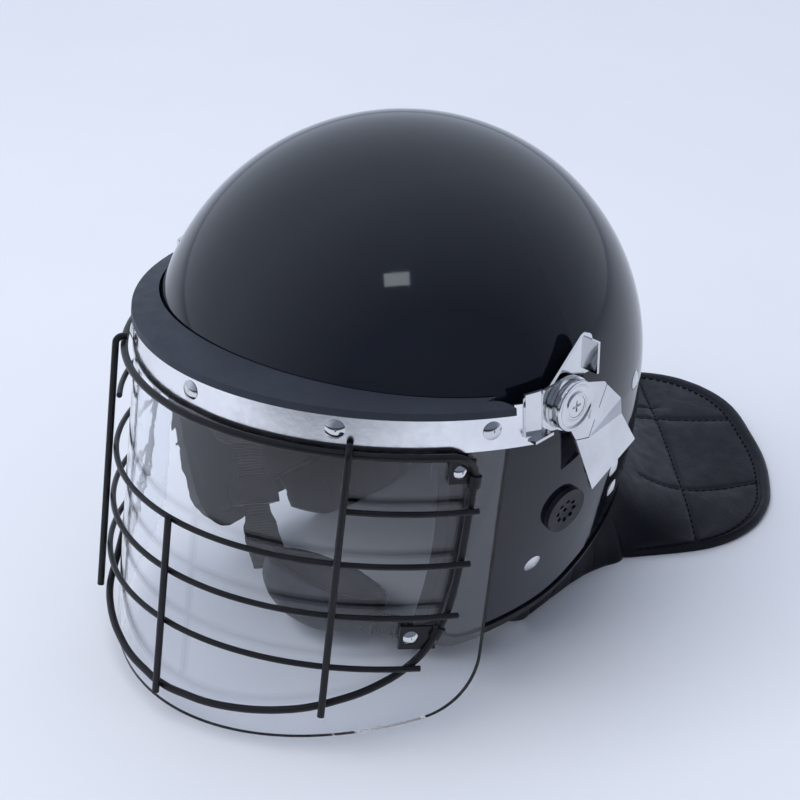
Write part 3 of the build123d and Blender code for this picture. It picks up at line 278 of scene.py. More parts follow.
chrome = plated("chrome_plate", (0.64, 0.64, 0.65), (0.74, 0.74, 0.75), (0.06, 0.14))
band_plate = plated("band_plate", (0.78, 0.78, 0.8), (0.86, 0.86, 0.87), (0.1, 0.2), 0.08)
zinc = plated("zinc_plate", (0.5, 0.5, 0.5), (0.62, 0.62, 0.6), (0.25, 0.4))
vent_plate = finish("vent_paint", (0.008, 0.009, 0.012), (0.014, 0.015, 0.019), (0.38, 0.5), fine=1500.0,
                    Specular_IOR_Level=0.32)
edge_rubber = finish("edge_rubber", (0.006, 0.006, 0.008), (0.011, 0.011, 0.013), (0.45, 0.6), fine=1600.0,
                     Specular_IOR_Level=0.3)
seal_rubber = finish("seal_rubber", (0.02, 0.024, 0.036), (0.028, 0.033, 0.048), (0.5, 0.62), patch=20.0, fine=1800.0,
                     fine_strength=0.35, Specular_IOR_Level=0.35)
wire_coat = finish("wire_coat", (0.004, 0.004, 0.005), (0.008, 0.008, 0.01), (0.3, 0.4), fine=700.0,
                   fine_strength=0.1, Specular_IOR_Level=0.32)
black_plastic = finish("black_plastic", (0.008, 0.008, 0.009), (0.015, 0.015, 0.017), (0.35, 0.5), fine=1900.0,
                       Specular_IOR_Level=0.32)
guard_leather = leather("guard_leather", (0.0035, 0.0042, 0.0078), (0.0065, 0.0078, 0.013), (0.36, 0.5), 850.0, 0.3)
cup_leather = leather("cup_leather", (0.012, 0.013, 0.017), (0.02, 0.021, 0.027), (0.42, 0.56), 1000.0, 0.12)
pad_cloth = cloth("pad_cloth", (0.014, 0.014, 0.016), (0.028, 0.028, 0.032))
lining_cloth = cloth("lining_cloth", (0.022, 0.022, 0.025), (0.04, 0.04, 0.045), 700.0)
thread = finish("sewing_thread", (0.0015, 0.0015, 0.002), (0.004, 0.004, 0.005), (0.6, 0.8), fine=4000.0,
                Specular_IOR_Level=0.15)
webbing = webbing_material()
shell_paint = shell_material()
clear_shield = lens_material()

node_materials = {
    shell_paint: ["outer_shell"],
    edge_rubber: ["shell_edge_trim"],
    vent_plate: ["ear_vent_left", "ear_vent_right"],
    chrome: ["shell_rivets", "band_rivets", "clip_rivets", "hinge_bases", "friction_discs", "pivot_caps",
             "pivot_screws", "lever_roots", "release_lever_left", "release_lever_right", "hinge_arms"],
    band_plate: ["visor_band"],
    zinc: ["pivot_nuts"],
    seal_rubber: ["brow_seal"],
    wire_coat: ["grille_frame", "grille_crossbars", "grille_uprights", "grille_clips"],
    black_plastic: ["pivot_spacers", "pivot_blocks", "pivot_washers", "buckle_socket", "buckle_insert",
                    "buckle_prong_front", "buckle_prong_back", "strap_slider"],
    clear_shield: ["visor_lens"],
}
for material, names in node_materials.items():
    for name in names:
        mesh = cad[name].data
        mesh.materials.clear()
        mesh.materials.append(material)


# Meshes of the soft pieces


def puckers(amount, scale):
    """Small uneven folds."""
    return lambda place: amount * noise.noise(place * scale)


def channels(amount, along, pitch, width):
    """Sewn channels a pitch apart along one axis."""
    folds = puckers(0.0003, 90)

    def push(place):
        count = place[along] / pitch
        near = abs(count - round(count)) * pitch
        return amount * (0.4 - math.exp(-(near / width) ** 2)) + folds(place)
    return push


def soft_copy(node, name, body, material, voxel, rounds, shape):
    """Copy of a CAD node's mesh, remeshed, smoothed and pushed along its normals by shape(point) metres."""
    piece = bpy.data.objects.new(name, cad[node].data.copy())
    bpy.context.scene.collection.objects.link(piece)
    remesh = piece.modifiers.new("remesh", "REMESH")
    remesh.mode = "VOXEL"
    remesh.voxel_size = voxel
    smooth = piece.modifiers.new("smooth", "SMOOTH")
    smooth.iterations = rounds
    smooth.factor = 0.5
    graph = bpy.context.evaluated_depsgraph_get()
    mesh = bpy.data.meshes.new_from_object(piece.evaluated_get(graph))
    bpy.data.objects.remove(piece)
    pushed = [vertex.co + vertex.normal * shape(vertex.co) for vertex in mesh.vertices]
    for vertex, place in zip(mesh.vertices, pushed):
        vertex.co = place
    mesh.name = name
    made = new_piece(name, mesh, body, material)
    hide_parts(node)
    return made


def ring_mesh(name, rings):
    """Mesh from closed rings of points, open at both ends."""
    count = len(rings[0])
    faces = []
    for i in range(len(rings) - 1):
        here, there = i * count, (i + 1) * count
        for j in range(count):
            after = (j + 1) % count
            faces.append((here + j, there + j, there + after, here + after))
    mesh = bpy.data.meshes.new(name)
    mesh.from_pydata([point for ring in rings for point in ring], [], faces)
    return mesh


def rework(mesh, *steps):
    work = bmesh.new()
    work.from_mesh(mesh)
    for step in steps:
        step(work)
    work.to_mesh(mesh)
    work.free()


def weld(work):
    bmesh.ops.remove_doubles(work, verts=work.verts, dist=0.00002)


def turn_outward(work):
    bmesh.ops.recalc_face_normals(work, faces=work.faces)


def close_ends(work):
    bmesh.ops.holes_fill(work, edges=[edge for edge in work.edges if edge.is_boundary], sides=0)


# A stitch is a bead of rings: (place along half its length, share of its radius)
BEAD_RINGS = ((-1, 0.25), (-0.55, 0.9), (0, 1), (0.55, 0.9), (1, 0.25))
BEAD_SIDES = 6


def add_bead(verts, faces, centre, way, up, length, radius):
    side = way.cross(up).normalized()
    first = len(verts)
    for step, share in BEAD_RINGS:
        for k in range(BEAD_SIDES):
            turn = 2 * math.pi * k / BEAD_SIDES
            verts.append(centre + way * step * length / 2
                         + (side * math.cos(turn) + up * math.sin(turn)) * radius * share)
    last = first + BEAD_SIDES * (len(BEAD_RINGS) - 1)
    for ring in range(first, last, BEAD_SIDES):
        for k in range(BEAD_SIDES):
            a = ring + k
            b = ring + (k + 1) % BEAD_SIDES
            faces.append((a, b, b + BEAD_SIDES, a + BEAD_SIDES))
    faces.append(tuple(first + k for k in reversed(range(BEAD_SIDES))))
    faces.append(tuple(last + k for k in range(BEAD_SIDES)))


def stitches(name, lines, body, pitch=0.0046, length=0.0033, radius=0.0005):
    """Rows of stitches along lines of (point, normal)."""
    verts = []
    faces = []
    for line in lines:
        gone = 0.0
        due = pitch / 2
        for (here, up), (there, _) in zip(line, line[1:]):
            run = there - here
            size = run.length
            while due <= gone + size and size > 0:
                way = run / size
                centre = here + way * (due - gone) + up * radius * 0.5
                add_bead(verts, faces, centre, way, up, length, radius)
                due += pitch
            gone += size
    mesh = bpy.data.meshes.new(name)
    mesh.from_pydata(verts, [], faces)
    return new_piece(name, mesh, body, thread)


# Form of the shell and its edge, for what hangs from it

SKIRT_LEVEL_SHARES = (1.0, 0.78, 0.57, 0.36, 0.14, 0.03)
SKIRT_WIDTH_SHARES = (1.0, 0.984, 0.935, 0.85, 0.735, 0.66)
SKIRT_LENGTH_SHARES = (1.0, 1.0, 1.0, 1.0, 0.985, 0.95)
RIM_HEIGHT = 22.0
RIM_FLAT_BACK = 30.0
NAPE_SIDE_BACK = 100.0
NAPE_SIDE_HEIGHT = 53.0
NAPE_SLOPE = 0.57
GUARD_AXIS_BACK = 60.0

# How far the apron and curtains reach up inside the shell and stay off its trim, and their rows up there
RIM_TUCK = 9.0
RIM_GAP = 1.4
TUCK_ROWS = [-1.0, -0.5, 0.0]


def row_of(places, place):
    return min(max(bisect.bisect_left(places, place), 1), len(places) - 1)


def between(places, values, place):
    row = row_of(places, place)
    part = (place - places[row - 1]) / (places[row] - places[row - 1])
    return values[row - 1] + part * (values[row] - values[row - 1])


def smooth_between(places, values, place):
    """Cubic through a table's rows."""
    row = row_of(places, place)

    def slope(i):
        low, high = max(i - 1, 0), min(i + 1, len(places) - 1)
        return (values[high] - values[low]) / (places[high] - places[low])

    width = places[row] - places[row - 1]
    t = min(max((place - places[row - 1]) / width, 0.0), 1.0)
    start, end = values[row - 1], values[row]
    return ((2 * t ** 3 - 3 * t ** 2 + 1) * start + (t ** 3 - 2 * t ** 2 + t) * width * slope(row - 1)
            + (3 * t ** 2 - 2 * t ** 3) * end + (t ** 3 - t ** 2) * width * slope(row))


def rounded(distance, radius):
    """Share of the thickness at a distance from a rounded edge."""
    return math.sqrt(max(1 - (1 - min(distance / radius, 1)) ** 2, 0))


def skirt_shares(level):
    below = max(min(level / DOME_CENTRE_HEIGHT, 1), SKIRT_LEVEL_SHARES[-1])
    levels = SKIRT_LEVEL_SHARES[::-1]
    return between(levels, SKIRT_WIDTH_SHARES[::-1], below), between(levels, SKIRT_LENGTH_SHARES[::-1], below)


def shell_reach(angle, level, inset):
    """Distance from the guard's axis to an inset of the shell, in a direction from straight back."""
    width_share, length_share = skirt_shares(level)
    half_width = SHELL_HALF_WIDTH * width_share - inset
    half_length = SHELL_HALF_LENGTH * length_share - inset
    side = math.sin(math.radians(angle)) / half_width
    back = math.cos(math.radians(angle)) / half_length
    start = (GUARD_AXIS_BACK - DOME_CENTRE_BACK) / half_length
    square = side * side + back * back
    return (math.sqrt(start * start * back * back + square * (1 - start * start)) - start * back) / square


def rim_level(back):
    """Height of the shell's edge."""
    if back < RIM_FLAT_BACK:
        return RIM_HEIGHT
    if back < NAPE_SIDE_BACK:
        rise = NAPE_SIDE_HEIGHT - RIM_HEIGHT
        return RIM_HEIGHT + (back - RIM_FLAT_BACK) * rise / (NAPE_SIDE_BACK - RIM_FLAT_BACK)
    return NAPE_SIDE_HEIGHT + (back - NAPE_SIDE_BACK) * NAPE_SLOPE


def rim_in_direction(angle):
    level = RIM_HEIGHT
    for _ in range(len(SKIRT_LEVEL_SHARES)):
        level = rim_level(GUARD_AXIS_BACK + shell_reach(angle, level, 0) * math.cos(math.radians(angle)))
    return level


def radial(angle, reach, level):
    turn = math.radians(angle)
    return spot(reach * math.sin(turn), GUARD_AXIS_BACK + reach * math.cos(turn), level)


# Quilted apron of the neck guard

GUARD_ANGLE = 56.5
GUARD_REACH = 226.0
GUARD_WALL = 6.0
GUARD_CROWN = 3.2
GUARD_ARCH = 5.0
GUARD_FLAT_CUT = 0.4
GUARD_ROUND = 3.4
GUARD_ANGLE_SHARES = (0.0, 0.076, 0.15, 0.265, 0.385, 0.5, 0.63, 0.76, 0.865, 0.95, 1.0)
GUARD_REACH_SHARES = (1.0, 0.995, 0.979, 0.938, 0.902, 0.862, 0.815, 0.742, 0.64, 0.49, 0.42)
GUARD_ROW_SHARES = (0.0, 0.03, 0.08, 0.15, 0.23, 0.32, 0.41, 0.5, 0.59, 0.68, 0.77, 0.86, 0.94, 0.97, 1.0)
GUARD_FALL_SHARES = (1.0, 0.907, 0.766, 0.594, 0.433, 0.291, 0.185, 0.109, 0.0577, 0.0261, 0.0091, 0.0019, 0.0, 0.0,
                     0.0)

# Cells swell away from the seams, and a rolled binding runs along the hem
PUFF_HEIGHT = 1.5
PUFF_RUN = 9.0
SEAM_DEPTH = 0.9
SEAM_HALF = 1.3
BINDING_ROW = 0.94
BINDING_SHARE = 0.06
BINDING_DEPTH = 1.0
BINDING_ROLL = 0.5

# Uneven filling of the cells: (height, cells per metre)
UNEVEN = ((0.8, 30), (0.3, 80))

# Folds where the apron leaves the shell, with how fast they change by degrees round it and by rows
FOLD_ROWS = 0.16
FOLD_START = 0.02
FOLD_HEIGHT = 1.1
FOLD_BY_ANGLE = 0.33
FOLD_BY_ROW = 3

# Quilting seams in plan, as ends (side, back) in millimetres of the shared frame
QUILT = (((-45, 214), (112, 77)), ((0, 177.8), (-112, 77)), ((0, 153.7), (46, 212)), ((0, 153.7), (-40, 205)),
         ((56, 88), (94, 168)), ((-56, 88), (-94, 168)))
QUILT_STEPS = 120
QUILT_SHARE_END = 0.985
QUILT_ROW_START = 0.03
QUILT_ROW_END = 0.93
HEM_STITCH_ROW = 0.925
HEM_STITCH_SPAN = 0.965

GUARD_COLUMNS = 220
CROWDING = 0.35
GUARD_ROW_PITCH = 0.008
GUARD_ROW_COUNT = 117
BINDING_ROW_COUNT = 12
GUARD_NORMAL_STEP = 0.01


def guard_line(share):
    """What the apron's centre line needs in one direction."""
    angle = share * GUARD_ANGLE
    rim = rim_in_direction(angle)
    inset = SHELL_WALL + TRIM_WALL + RIM_GAP + GUARD_WALL / 2
    size = abs(share)
    return {
        "angle": angle,
        "start": shell_reach(angle, rim, inset),
        "tuck": (shell_reach(angle, rim + RIM_TUCK, inset), rim + RIM_TUCK),
        "reach": GUARD_REACH * smooth_between(GUARD_ANGLE_SHARES, GUARD_REACH_SHARES, size),
        "leave": rim - TRIM_LIP - RIM_GAP - GUARD_WALL / 2 - GUARD_CROWN,
        "hem": GUARD_WALL / 2 - GUARD_FLAT_CUT + GUARD_ARCH * math.cos(math.pi / 2 * min(2 * size, 1)) ** 2,
    }


def guard_centre(line, row):
    """(reach, level) on the centre line: row 0 is at the shell's edge, 1 at the hem, -1 at the top inside."""
    if row < 0:
        start = (line["start"], line["leave"])
        return tuple(a + (b - a) * -row for a, b in zip(start, line["tuck"]))
    fall = smooth_between(GUARD_ROW_SHARES, GUARD_FALL_SHARES, row)
    return line["start"] + (line["reach"] - line["start"]) * row, line["hem"] + (line["leave"] - line["hem"]) * fall


def quilt_distance(point):
    """Distance in millimetres from a point to the nearest quilting seam."""
    x, y = point.x * 1000, point.y * 1000
    distances = []
    for (ax, ay), (bx, by) in QUILT:
        run_x, run_y = bx - ax, by - ay
        part = ((x - ax) * run_x + (y - ay) * run_y) / (run_x ** 2 + run_y ** 2)
        part = min(max(part, 0), 1)
        distances.append(math.hypot(x - ax - run_x * part, y - ay - run_y * part))
    return min(distances)


def quilted_half(line, where, row, depth):
    """Half thickness of the apron towards its top."""
    seam = quilt_distance(where)
    in_field = row < BINDING_ROW
    off_seam = min(row * depth, max(BINDING_ROW - row, 0) * depth, seam)
    puff = (1 - math.exp(-off_seam / PUFF_RUN)) if in_field else 0
    half = GUARD_WALL / 2
    half += PUFF_HEIGHT * puff - SEAM_DEPTH * math.exp(-(seam / SEAM_HALF) ** 2) * in_field
    half -= BINDING_DEPTH * math.exp(-((row - BINDING_ROW) * depth / SEAM_HALF) ** 2)
    if row > BINDING_ROW:
        half += BINDING_ROLL * math.sin(math.pi * (row - BINDING_ROW) / BINDING_SHARE)
    uneven = SEAM_LEFT + (1 - SEAM_LEFT) * puff
    half += uneven * sum(height * noise.noise(where * scale) for height, scale in UNEVEN)
    fold = math.exp(-(row / FOLD_ROWS) ** 2) * (row > FOLD_START)
    half += FOLD_HEIGHT * fold * noise.noise(Vector((line["angle"] * FOLD_BY_ANGLE, row * FOLD_BY_ROW, 0.5)))
    return half


def guard_point(share, row, face):
    """Point on the apron's upper (1) or under (-1) face."""
    line = guard_line(share)
    reach, level = guard_centre(line, row)
    before = guard_centre(line, max(row - GUARD_NORMAL_STEP, -1))
    after = guard_centre(line, min(row + GUARD_NORMAL_STEP, 1))
    run = Vector((after[0] - before[0], after[1] - before[1])).normalized()
    normal = Vector((-run.y, run.x))
    depth = line["reach"] - line["start"]
    half = GUARD_WALL / 2
    if face > 0 and row > 0:
        half = quilted_half(line, radial(line["angle"], reach, level), row, depth)
    edge = min((1 - row) * depth, (1 - abs(share)) * math.radians(GUARD_ANGLE) * reach)
    share_left = rounded(edge, GUARD_ROUND)
    point = radial(line["angle"], reach + normal.x * half * face * share_left,
                   level + normal.y * half * face * share_left)
    point.z = max(point.z, 0.0)
    return point


def side_steps(count):
    """Places from -1 to 1, closer together at both ends."""
    even = [2 * i / count - 1 for i in range(count + 1)]
    return [math.sin(math.pi / 2 * place) * CROWDING + place * (1 - CROWDING) for place in even]


def guard_seam(places):
    """Points and normals along a seam on the apron's top."""
    points = [guard_point(share, row, 1) for share, row in places]
    return [(point, Vector((0, 0, 1))) for point in points]


def apron_place(x, y):
    """(share, row) of the apron under a plan point in millimetres of the shared frame, or None off its field."""
    back = y - PIVOT_BACK - GUARD_AXIS_BACK
    share = math.degrees(math.atan2(x, back)) / GUARD_ANGLE
    if abs(share) > QUILT_SHARE_END:
        return None
    line = guard_line(share)
    row = (math.hypot(x, back) - line["start"]) / (line["reach"] - line["start"])
    return (share, row) if QUILT_ROW_START < row < QUILT_ROW_END else None


shares = side_steps(GUARD_COLUMNS)
field_rows = [GUARD_ROW_PITCH * (i + 1) for i in range(GUARD_ROW_COUNT)]
binding_rows = [BINDING_ROW + BINDING_SHARE * math.sin(math.pi / 2 * i / BINDING_ROW_COUNT)
                for i in range(BINDING_ROW_COUNT + 1)]
guard_rows = TUCK_ROWS + field_rows + binding_rows
guard_rings = []
for share in shares:
    upper = [guard_point(share, row, 1) for row in guard_rows]
    under = [guard_point(share, row, -1) for row in reversed(guard_rows)]
    guard_rings.append(upper + under)
guard_mesh = ring_mesh("neck_apron", guard_rings)
rework(guard_mesh, weld, turn_outward)
guard = new_piece("neck_apron", guard_mesh, "helmet", guard_leather)
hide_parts("neck_guard")

seam_lines = []
for (ax, ay), (bx, by) in QUILT:
    places = [apron_place(ax + (bx - ax) * i / QUILT_STEPS, ay + (by - ay) * i / QUILT_STEPS)
              for i in range(QUILT_STEPS + 1)]
    seam_lines.append(guard_seam([place for place in places if place]))
seam_lines.append(guard_seam([(share * HEM_STITCH_SPAN, HEM_STITCH_ROW) for share in shares]))
guard_stitches = stitches("guard_stitching", seam_lines, "helmet")

# Side curtains of the neck guard: the foot draws out beside the apron (minus) and in further on, and the front corner
# lifts off the table

WING_START = 55.0
WING_END = 122.0
WING_ANGLES = (WING_START, 58.5, 63.0, 70.0, 79.0, 89.0, 98.0, 106.0, 113.0, WING_END)
WING_DRAWS = (-15.0, -13.0, -5.0, 2.0, 6.0, 7.5, 7.0, 5.5, 3.7, 1.5)
WING_WALL = 7.0
WING_CROWN = 1.6
WING_HALF = 3.3
WING_PUFF = 1.4
WING_CELL = (WING_END - WING_START) / 5
WING_LIFT_START = 107.0
WING_LIFT = 0.55
WING_ROUND = 3.2
WING_FOOT_ROUND = 1.2
WING_UNEVEN = 0.0006
WING_COLUMNS = 120
WING_ROW_COUNT = 24


def wing_point(angle, row, face, mirrored):
    """Point on a curtain's outer (1) or inner (-1) face: row 0 is at the shell's edge, 1 at the hem."""
    rim = rim_in_direction(angle)
    inset = SHELL_WALL + TRIM_WALL + RIM_GAP + WING_WALL / 2 + WING_CROWN
    top = (shell_reach(angle, rim + RIM_TUCK, inset), rim + RIM_TUCK)
    start = (shell_reach(angle, rim, inset), rim)
    if row < 0:
        reach, level = (a + (b - a) * -row for a, b in zip(start, top))
    else:
        reach = start[0] - smooth_between(WING_ANGLES, WING_DRAWS, angle) * row
        lift = min(max((angle - WING_LIFT_START) / (WING_END - WING_LIFT_START), 0), 1)
        level = rim * (1 - row * (1 - WING_LIFT * lift * lift))
    cell = math.sin(math.pi * (((angle - WING_START) / WING_CELL) % 1))
    swell = math.sqrt(max(math.sin(math.pi * max(row, 0)), 0))
    half = WING_HALF + WING_PUFF * swell * (SEAM_LEFT + (1 - SEAM_LEFT) * math.sqrt(max(cell, 0)))
    off_side = min(angle - WING_START, WING_END - angle) * math.pi / 180 * reach
    off_hem = (1 - row) * rim + WING_FOOT_ROUND
    half *= max(rounded(min(off_side, off_hem), WING_ROUND), 0.05)
    point = radial(angle, reach + half * face, level)
    if row > 0:
        point += Vector((point.x, point.y, 0)).normalized() * WING_UNEVEN * noise.noise(point * 60) * face
    point.z = max(point.z, 0.0)
    return on_side(point, mirrored)


wing_rows = TUCK_ROWS + [i / WING_ROW_COUNT for i in range(1, WING_ROW_COUNT + 1)]
wing_angles = [WING_START + (WING_END - WING_START) * step / WING_COLUMNS for step in range(WING_COLUMNS + 1)]
for side, mirrored in (("left", False), ("right", True)):
    wing_rings = []
    for angle in wing_angles:
        outside = [wing_point(angle, row, 1, mirrored) for row in wing_rows]
        inside = [wing_point(angle, row, -1, mirrored) for row in reversed(wing_rows)]
        wing_rings.append(outside + inside)
    wing_mesh = ring_mesh("neck_curtain_" + side, wing_rings)
    rework(wing_mesh, weld, turn_outward, close_ends)
    wing = new_piece("neck_curtain_" + side, wing_mesh, "helmet", guard_leather)
    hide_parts("neck_wing_" + side)

# Lining, pads with (node, axis across the channels, pitch in metres), and the chin cup

PADS = (("crown_pad", 0, 0.03), ("brow_pad", 0, 0.033), ("nape_pad", 0, 0.033), ("side_pads", 1, 0.03),
        ("cheek_pad_left", 1, 0.024), ("cheek_pad_right", 1, 0.024))

lining = soft_copy("impact_liner", "foam_lining", "helmet", lining_cloth, 0.003, 6, puckers(0.0004, 60))
for node, along, pitch in PADS:
    pad = soft_copy(node, node + "_cloth", "helmet", pad_cloth, 0.0022, 8, channels(0.001, along, pitch, 0.0022))

cup = soft_copy("chin_cup", "chin_rest", "helmet", cup_leather, 0.0013, 5, puckers(0.00025, 110))

# Straps: from the cheek rivet round the jaw to the cup, with the buckle on the left

STRAP_SEAT = Vector((109.961, -3.0, 66.5))
STRAP_OUT = Vector((0.937561, -0.113865, -0.328655))
STRAP_TURN = Vector((68.0, -23.0, 14.0))
STRAP_CUP = Vector((37.0, -44.0, 17.0))
STRAP_BEND = 14.0
STRAP_TOP_RISE = 9.0
STRAP_TWIST_SHARE = 0.62
STRAP_CUP_SHARE = 0.985
WEB_WALL = 1.8
BUCKLE_SHARE = 0.42
BUCKLE_LENGTH = 24.0
BUCKLE_SHELL_WALL = 1.8
SOCKET_OVERLAP = 3.0

# The woven strap is a little narrower and thinner than its solid
WEB_HALF_WIDTH = 9.9
WEB_HALF_WALL = 0.85
WEB_SIDES = 24
WEB_STEPS = 70
TAIL_STEPS = 6
SELVEDGE_SEAMS = (-8.0, 8.0)

strap_anchor = STRAP_SEAT - STRAP_OUT * (SHELL_WALL + WEB_WALL / 2 + LAY_GAP + SOFT_GAP)


def rounded_route(points, radius, steps=24):
    """Points along straight runs with a round bend at the middle point."""
    start, turn, end = points
    in_way = (turn - start).normalized()
    out_way = (end - turn).normalized()
    swing = in_way.angle(out_way)
    cut = radius * math.tan(swing / 2)
    first = turn - in_way * cut
    last = turn + out_way * cut
    inward = (out_way - in_way * out_way.dot(in_way)).normalized()
    centre = first + inward * radius
    route = [start + (first - start) * i / steps for i in range(steps)]
    for i in range(steps + 1):
        bend = swing * i / steps
        route.append(centre - inward * radius * math.cos(bend) + in_way * radius * math.sin(bend))
    route += [last + (end - last) * i / steps for i in range(1, steps + 1)]
    return route


def route_lengths(route):
    """Length of the route up to each of its points."""
    lengths = [0.0]
    for before, here in zip(route, route[1:]):
        lengths.append(lengths[-1] + (here - before).length)
    return lengths


strap_route = rounded_route([strap_anchor, STRAP_TURN, STRAP_CUP], STRAP_BEND)
strap_lengths = route_lengths(strap_route)
strap_total = strap_lengths[-1]
half_buckle = BUCKLE_LENGTH / 2 / strap_total
socket_share = BUCKLE_SHARE - half_buckle
insert_share = BUCKLE_SHARE + half_buckle


def strap_frame(share):
    """Place, width direction and facing of the strap, in millimetres: it twists between the buckle and the cup."""
    target = share * strap_total
    row = row_of(strap_lengths, target)
    before, here = strap_route[row - 1], strap_route[row]
    part = (target - strap_lengths[row - 1]) / (strap_lengths[row] - strap_lengths[row - 1])
    ahead = strap_route[min(row + 1, len(strap_route) - 1)] - strap_route[max(row - 2, 0)]
    way = ahead.normalized()
    last = (STRAP_CUP - STRAP_TURN).normalized()
    low_facing = (Vector((0, 0, -1)) + last * last.z).normalized()
    turned = min(max((share - insert_share) / (STRAP_TWIST_SHARE - insert_share), 0), 1)
    facing = STRAP_OUT * (1 - turned) + low_facing * turned
    facing = (facing - way * facing.dot(way)).normalized()
    return before + (here - before) * part, facing.cross(way), facing


def web_profile():
    """Section of the strap with rounded selvedges, as (across, outwards)."""
    profile = []
    for k in range(WEB_SIDES):
        turn = 2 * math.pi * k / WEB_SIDES
        wide = math.copysign(abs(math.cos(turn)) ** 0.25, math.cos(turn))
        thick = math.copysign(abs(math.sin(turn)) ** 0.6, math.sin(turn))
        profile.append((WEB_HALF_WIDTH * wide, WEB_HALF_WALL * thick))
    return profile


profile = web_profile()


def strap_piece(name, start, end, node, mirrored, tail=False):
    """Woven strap between two shares of the route; gives the lines of its two seams."""
    frames = [strap_frame(start + (end - start) * i / WEB_STEPS) for i in range(WEB_STEPS + 1)]
    if tail:
        up = (Vector((0, 0, 1)) - STRAP_OUT * STRAP_OUT.z).normalized()
        _, across, facing = frames[0]
        across = (across - up * across.dot(up)).normalized()
        frames = [(strap_anchor + up * STRAP_TOP_RISE * (1 - i / TAIL_STEPS), across, facing)
                  for i in range(TAIL_STEPS)] + frames
    marks = route_lengths([point for point, _, _ in frames])
    rings = [[on_side(spot(*(point + across * x + facing * y)), mirrored) for x, y in profile]
             for point, across, facing in frames]
    mesh = ring_mesh(name, rings)
    layer = mesh.uv_layers.new(name="strap")
    for loop in mesh.loops:
        row, column = divmod(loop.vertex_index, WEB_SIDES)
        layer.data[loop.index].uv = (profile[column][0], marks[row])
    rework(mesh, close_ends, turn_outward)
    made = new_piece(name, mesh, "helmet", webbing)
    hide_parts(node)
    return [[(on_side(spot(*(point + across * edge + facing * WEB_HALF_WALL)), mirrored), on_side(facing, mirrored))
             for point, across, facing in frames] for edge in SELVEDGE_SEAMS]


strap_lines = strap_piece("webbing_left_upper", 0, socket_share + SOCKET_OVERLAP / strap_total, "strap_left_upper",
                          False, True)
strap_lines += strap_piece("webbing_left_lower", insert_share - BUCKLE_SHELL_WALL / strap_total, STRAP_CUP_SHARE,
                           "strap_left_lower", False)
strap_lines += strap_piece("webbing_right", 0, STRAP_CUP_SHARE, "strap_right", True, True)
strap_stitches = stitches("strap_stitching", strap_lines, "helmet", pitch=0.003, length=0.002, radius=0.0002)

# Stage: table, world, lamps and camera, in metres

# Where the table's reflections are painted as a dark room (a painted reflection): direction, and the distances where
# it starts and is full
PAINTED_ROOM_WAY = (0.67, -0.742, 0.0)
PAINTED_ROOM_START = (0.55, 0.95)
TABLE_HALF = 8

# The world darkens towards one side, apart from what the camera itself sees
SKY_WAY = (0.93, -0.37, 0.0)
SKY_RANGE = (-0.35, 0.7)
SKY_BRIGHT = (0.67, 0.745, 0.89)
SKY_DARK = (0.18, 0.21, 0.28)
SKY_SEEN = (0.68, 0.74, 0.86, 1)

WHITE = (1.0, 1.0, 1.0)
LAMP_TARGET = Vector((0, 0, 0.1))
# Name, place, size, watts, colour, seen in reflections
LAMPS = (("window_back", (-1.1, 1.6, 2.4), (2.6, 2.0), 6, WHITE, False),
         ("softbox_right", (2.2, 0.2, 2.2), (2.0, 2.0), 6, WHITE, False),
         ("softbox_top", (-0.2, -0.8, 2.6), (2.4, 2.0), 23, WHITE, False),
         ("softbox_front", (-0.7, -2.0, 2.2), (2.2, 1.8), 27, (1.0, 0.995, 0.985), False),
         ("ceiling_window", (1.0, -0.86, 2.6), (0.5, 0.3), 1.8, (0.85, 0.92, 1.0), True))

# From the camera fit to the photograph: places in metres, lens in millimetres, roll in degrees
CAMERA_PLACE = Vector((0.71710, -0.79441, 0.69535))
CAMERA_TARGET = Vector((-0.03949, -0.00466, 0.0770))
CAMERA_LENS = 102.13
CAMERA_ROLL = -0.088

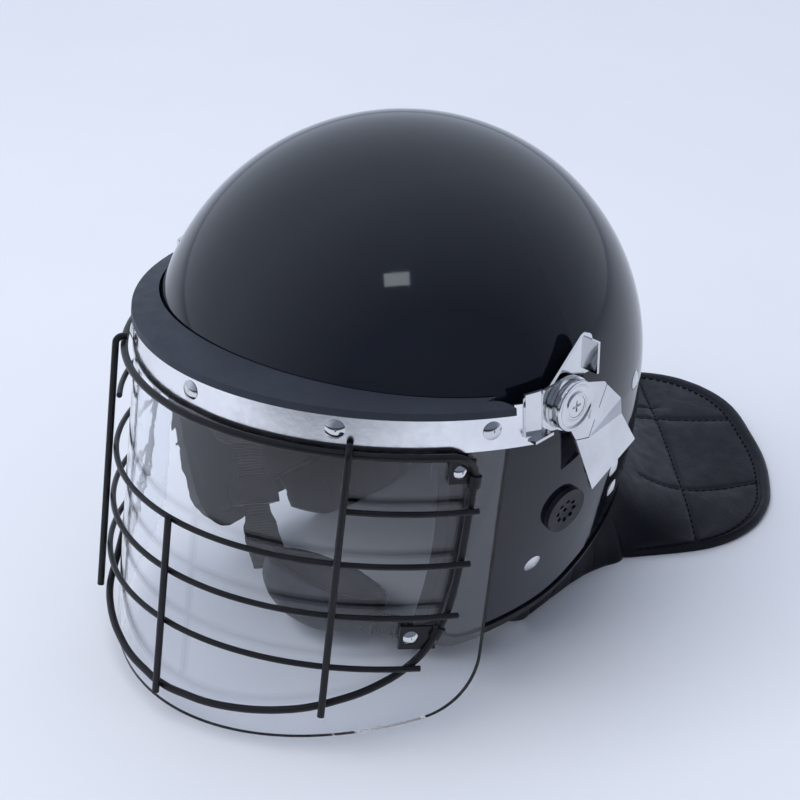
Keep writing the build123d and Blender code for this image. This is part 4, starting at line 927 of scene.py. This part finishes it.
floor_mesh = bpy.data.meshes.new("table_top")
floor_mesh.from_pydata([(x * TABLE_HALF, y * TABLE_HALF, 0) for x, y in ((-1, -1), (1, -1), (1, 1), (-1, 1))], [],
                       [(0, 1, 2, 3)])
floor_mesh.materials.append(table_material())
floor = bpy.data.objects.new("table_top", floor_mesh)
bpy.context.scene.collection.objects.link(floor)

world = bpy.data.worlds.new("studio")
bpy.context.scene.world = world
world.use_nodes = True
sky = world.node_tree
background = sky.nodes["Background"]
view_way = add(sky, "ShaderNodeTexCoord").outputs["Generated"]
towards = add(sky, "ShaderNodeVectorMath", {0: view_way, 1: SKY_WAY}, operation="DOT_PRODUCT").outputs["Value"]
sky_colour = blend_colours(sky, towards, SKY_BRIGHT, SKY_DARK, *SKY_RANGE)
from_camera = add(sky, "ShaderNodeLightPath").outputs["Is Camera Ray"]
seen = add(sky, "ShaderNodeMix", {"Factor": from_camera}, data_type="RGBA")
sky.links.new(sky_colour, seen.inputs["A"])
seen.inputs["B"].default_value = SKY_SEEN
sky.links.new(seen.outputs["Result"], background.inputs["Color"])
background.inputs["Strength"].default_value = 1.0

for name, place, size, power, colour, mirrored in LAMPS:
    data = bpy.data.lights.new(name, "AREA")
    data.shape = "RECTANGLE"
    data.size, data.size_y = size
    data.energy = power
    data.color = colour
    lamp = bpy.data.objects.new(name, data)
    lamp.location = place
    lamp.rotation_euler = (LAMP_TARGET - Vector(place)).to_track_quat("-Z", "Y").to_euler()
    lamp.visible_glossy = mirrored
    bpy.context.scene.collection.objects.link(lamp)

camera_data = bpy.data.cameras.new("camera")
camera_data.sensor_width = 36.0
camera_data.lens = CAMERA_LENS
camera_data.clip_end = 30.0
camera = bpy.data.objects.new("camera", camera_data)
bpy.context.scene.collection.objects.link(camera)
look = (CAMERA_TARGET - CAMERA_PLACE).to_track_quat("-Z", "Y").to_matrix().to_4x4()
roll = Matrix.Rotation(math.radians(CAMERA_ROLL), 4, "Z")
camera.matrix_world = Matrix.Translation(CAMERA_PLACE) @ look @ roll
bpy.context.scene.camera = camera
bpy.context.scene.view_settings.view_transform = "Standard"
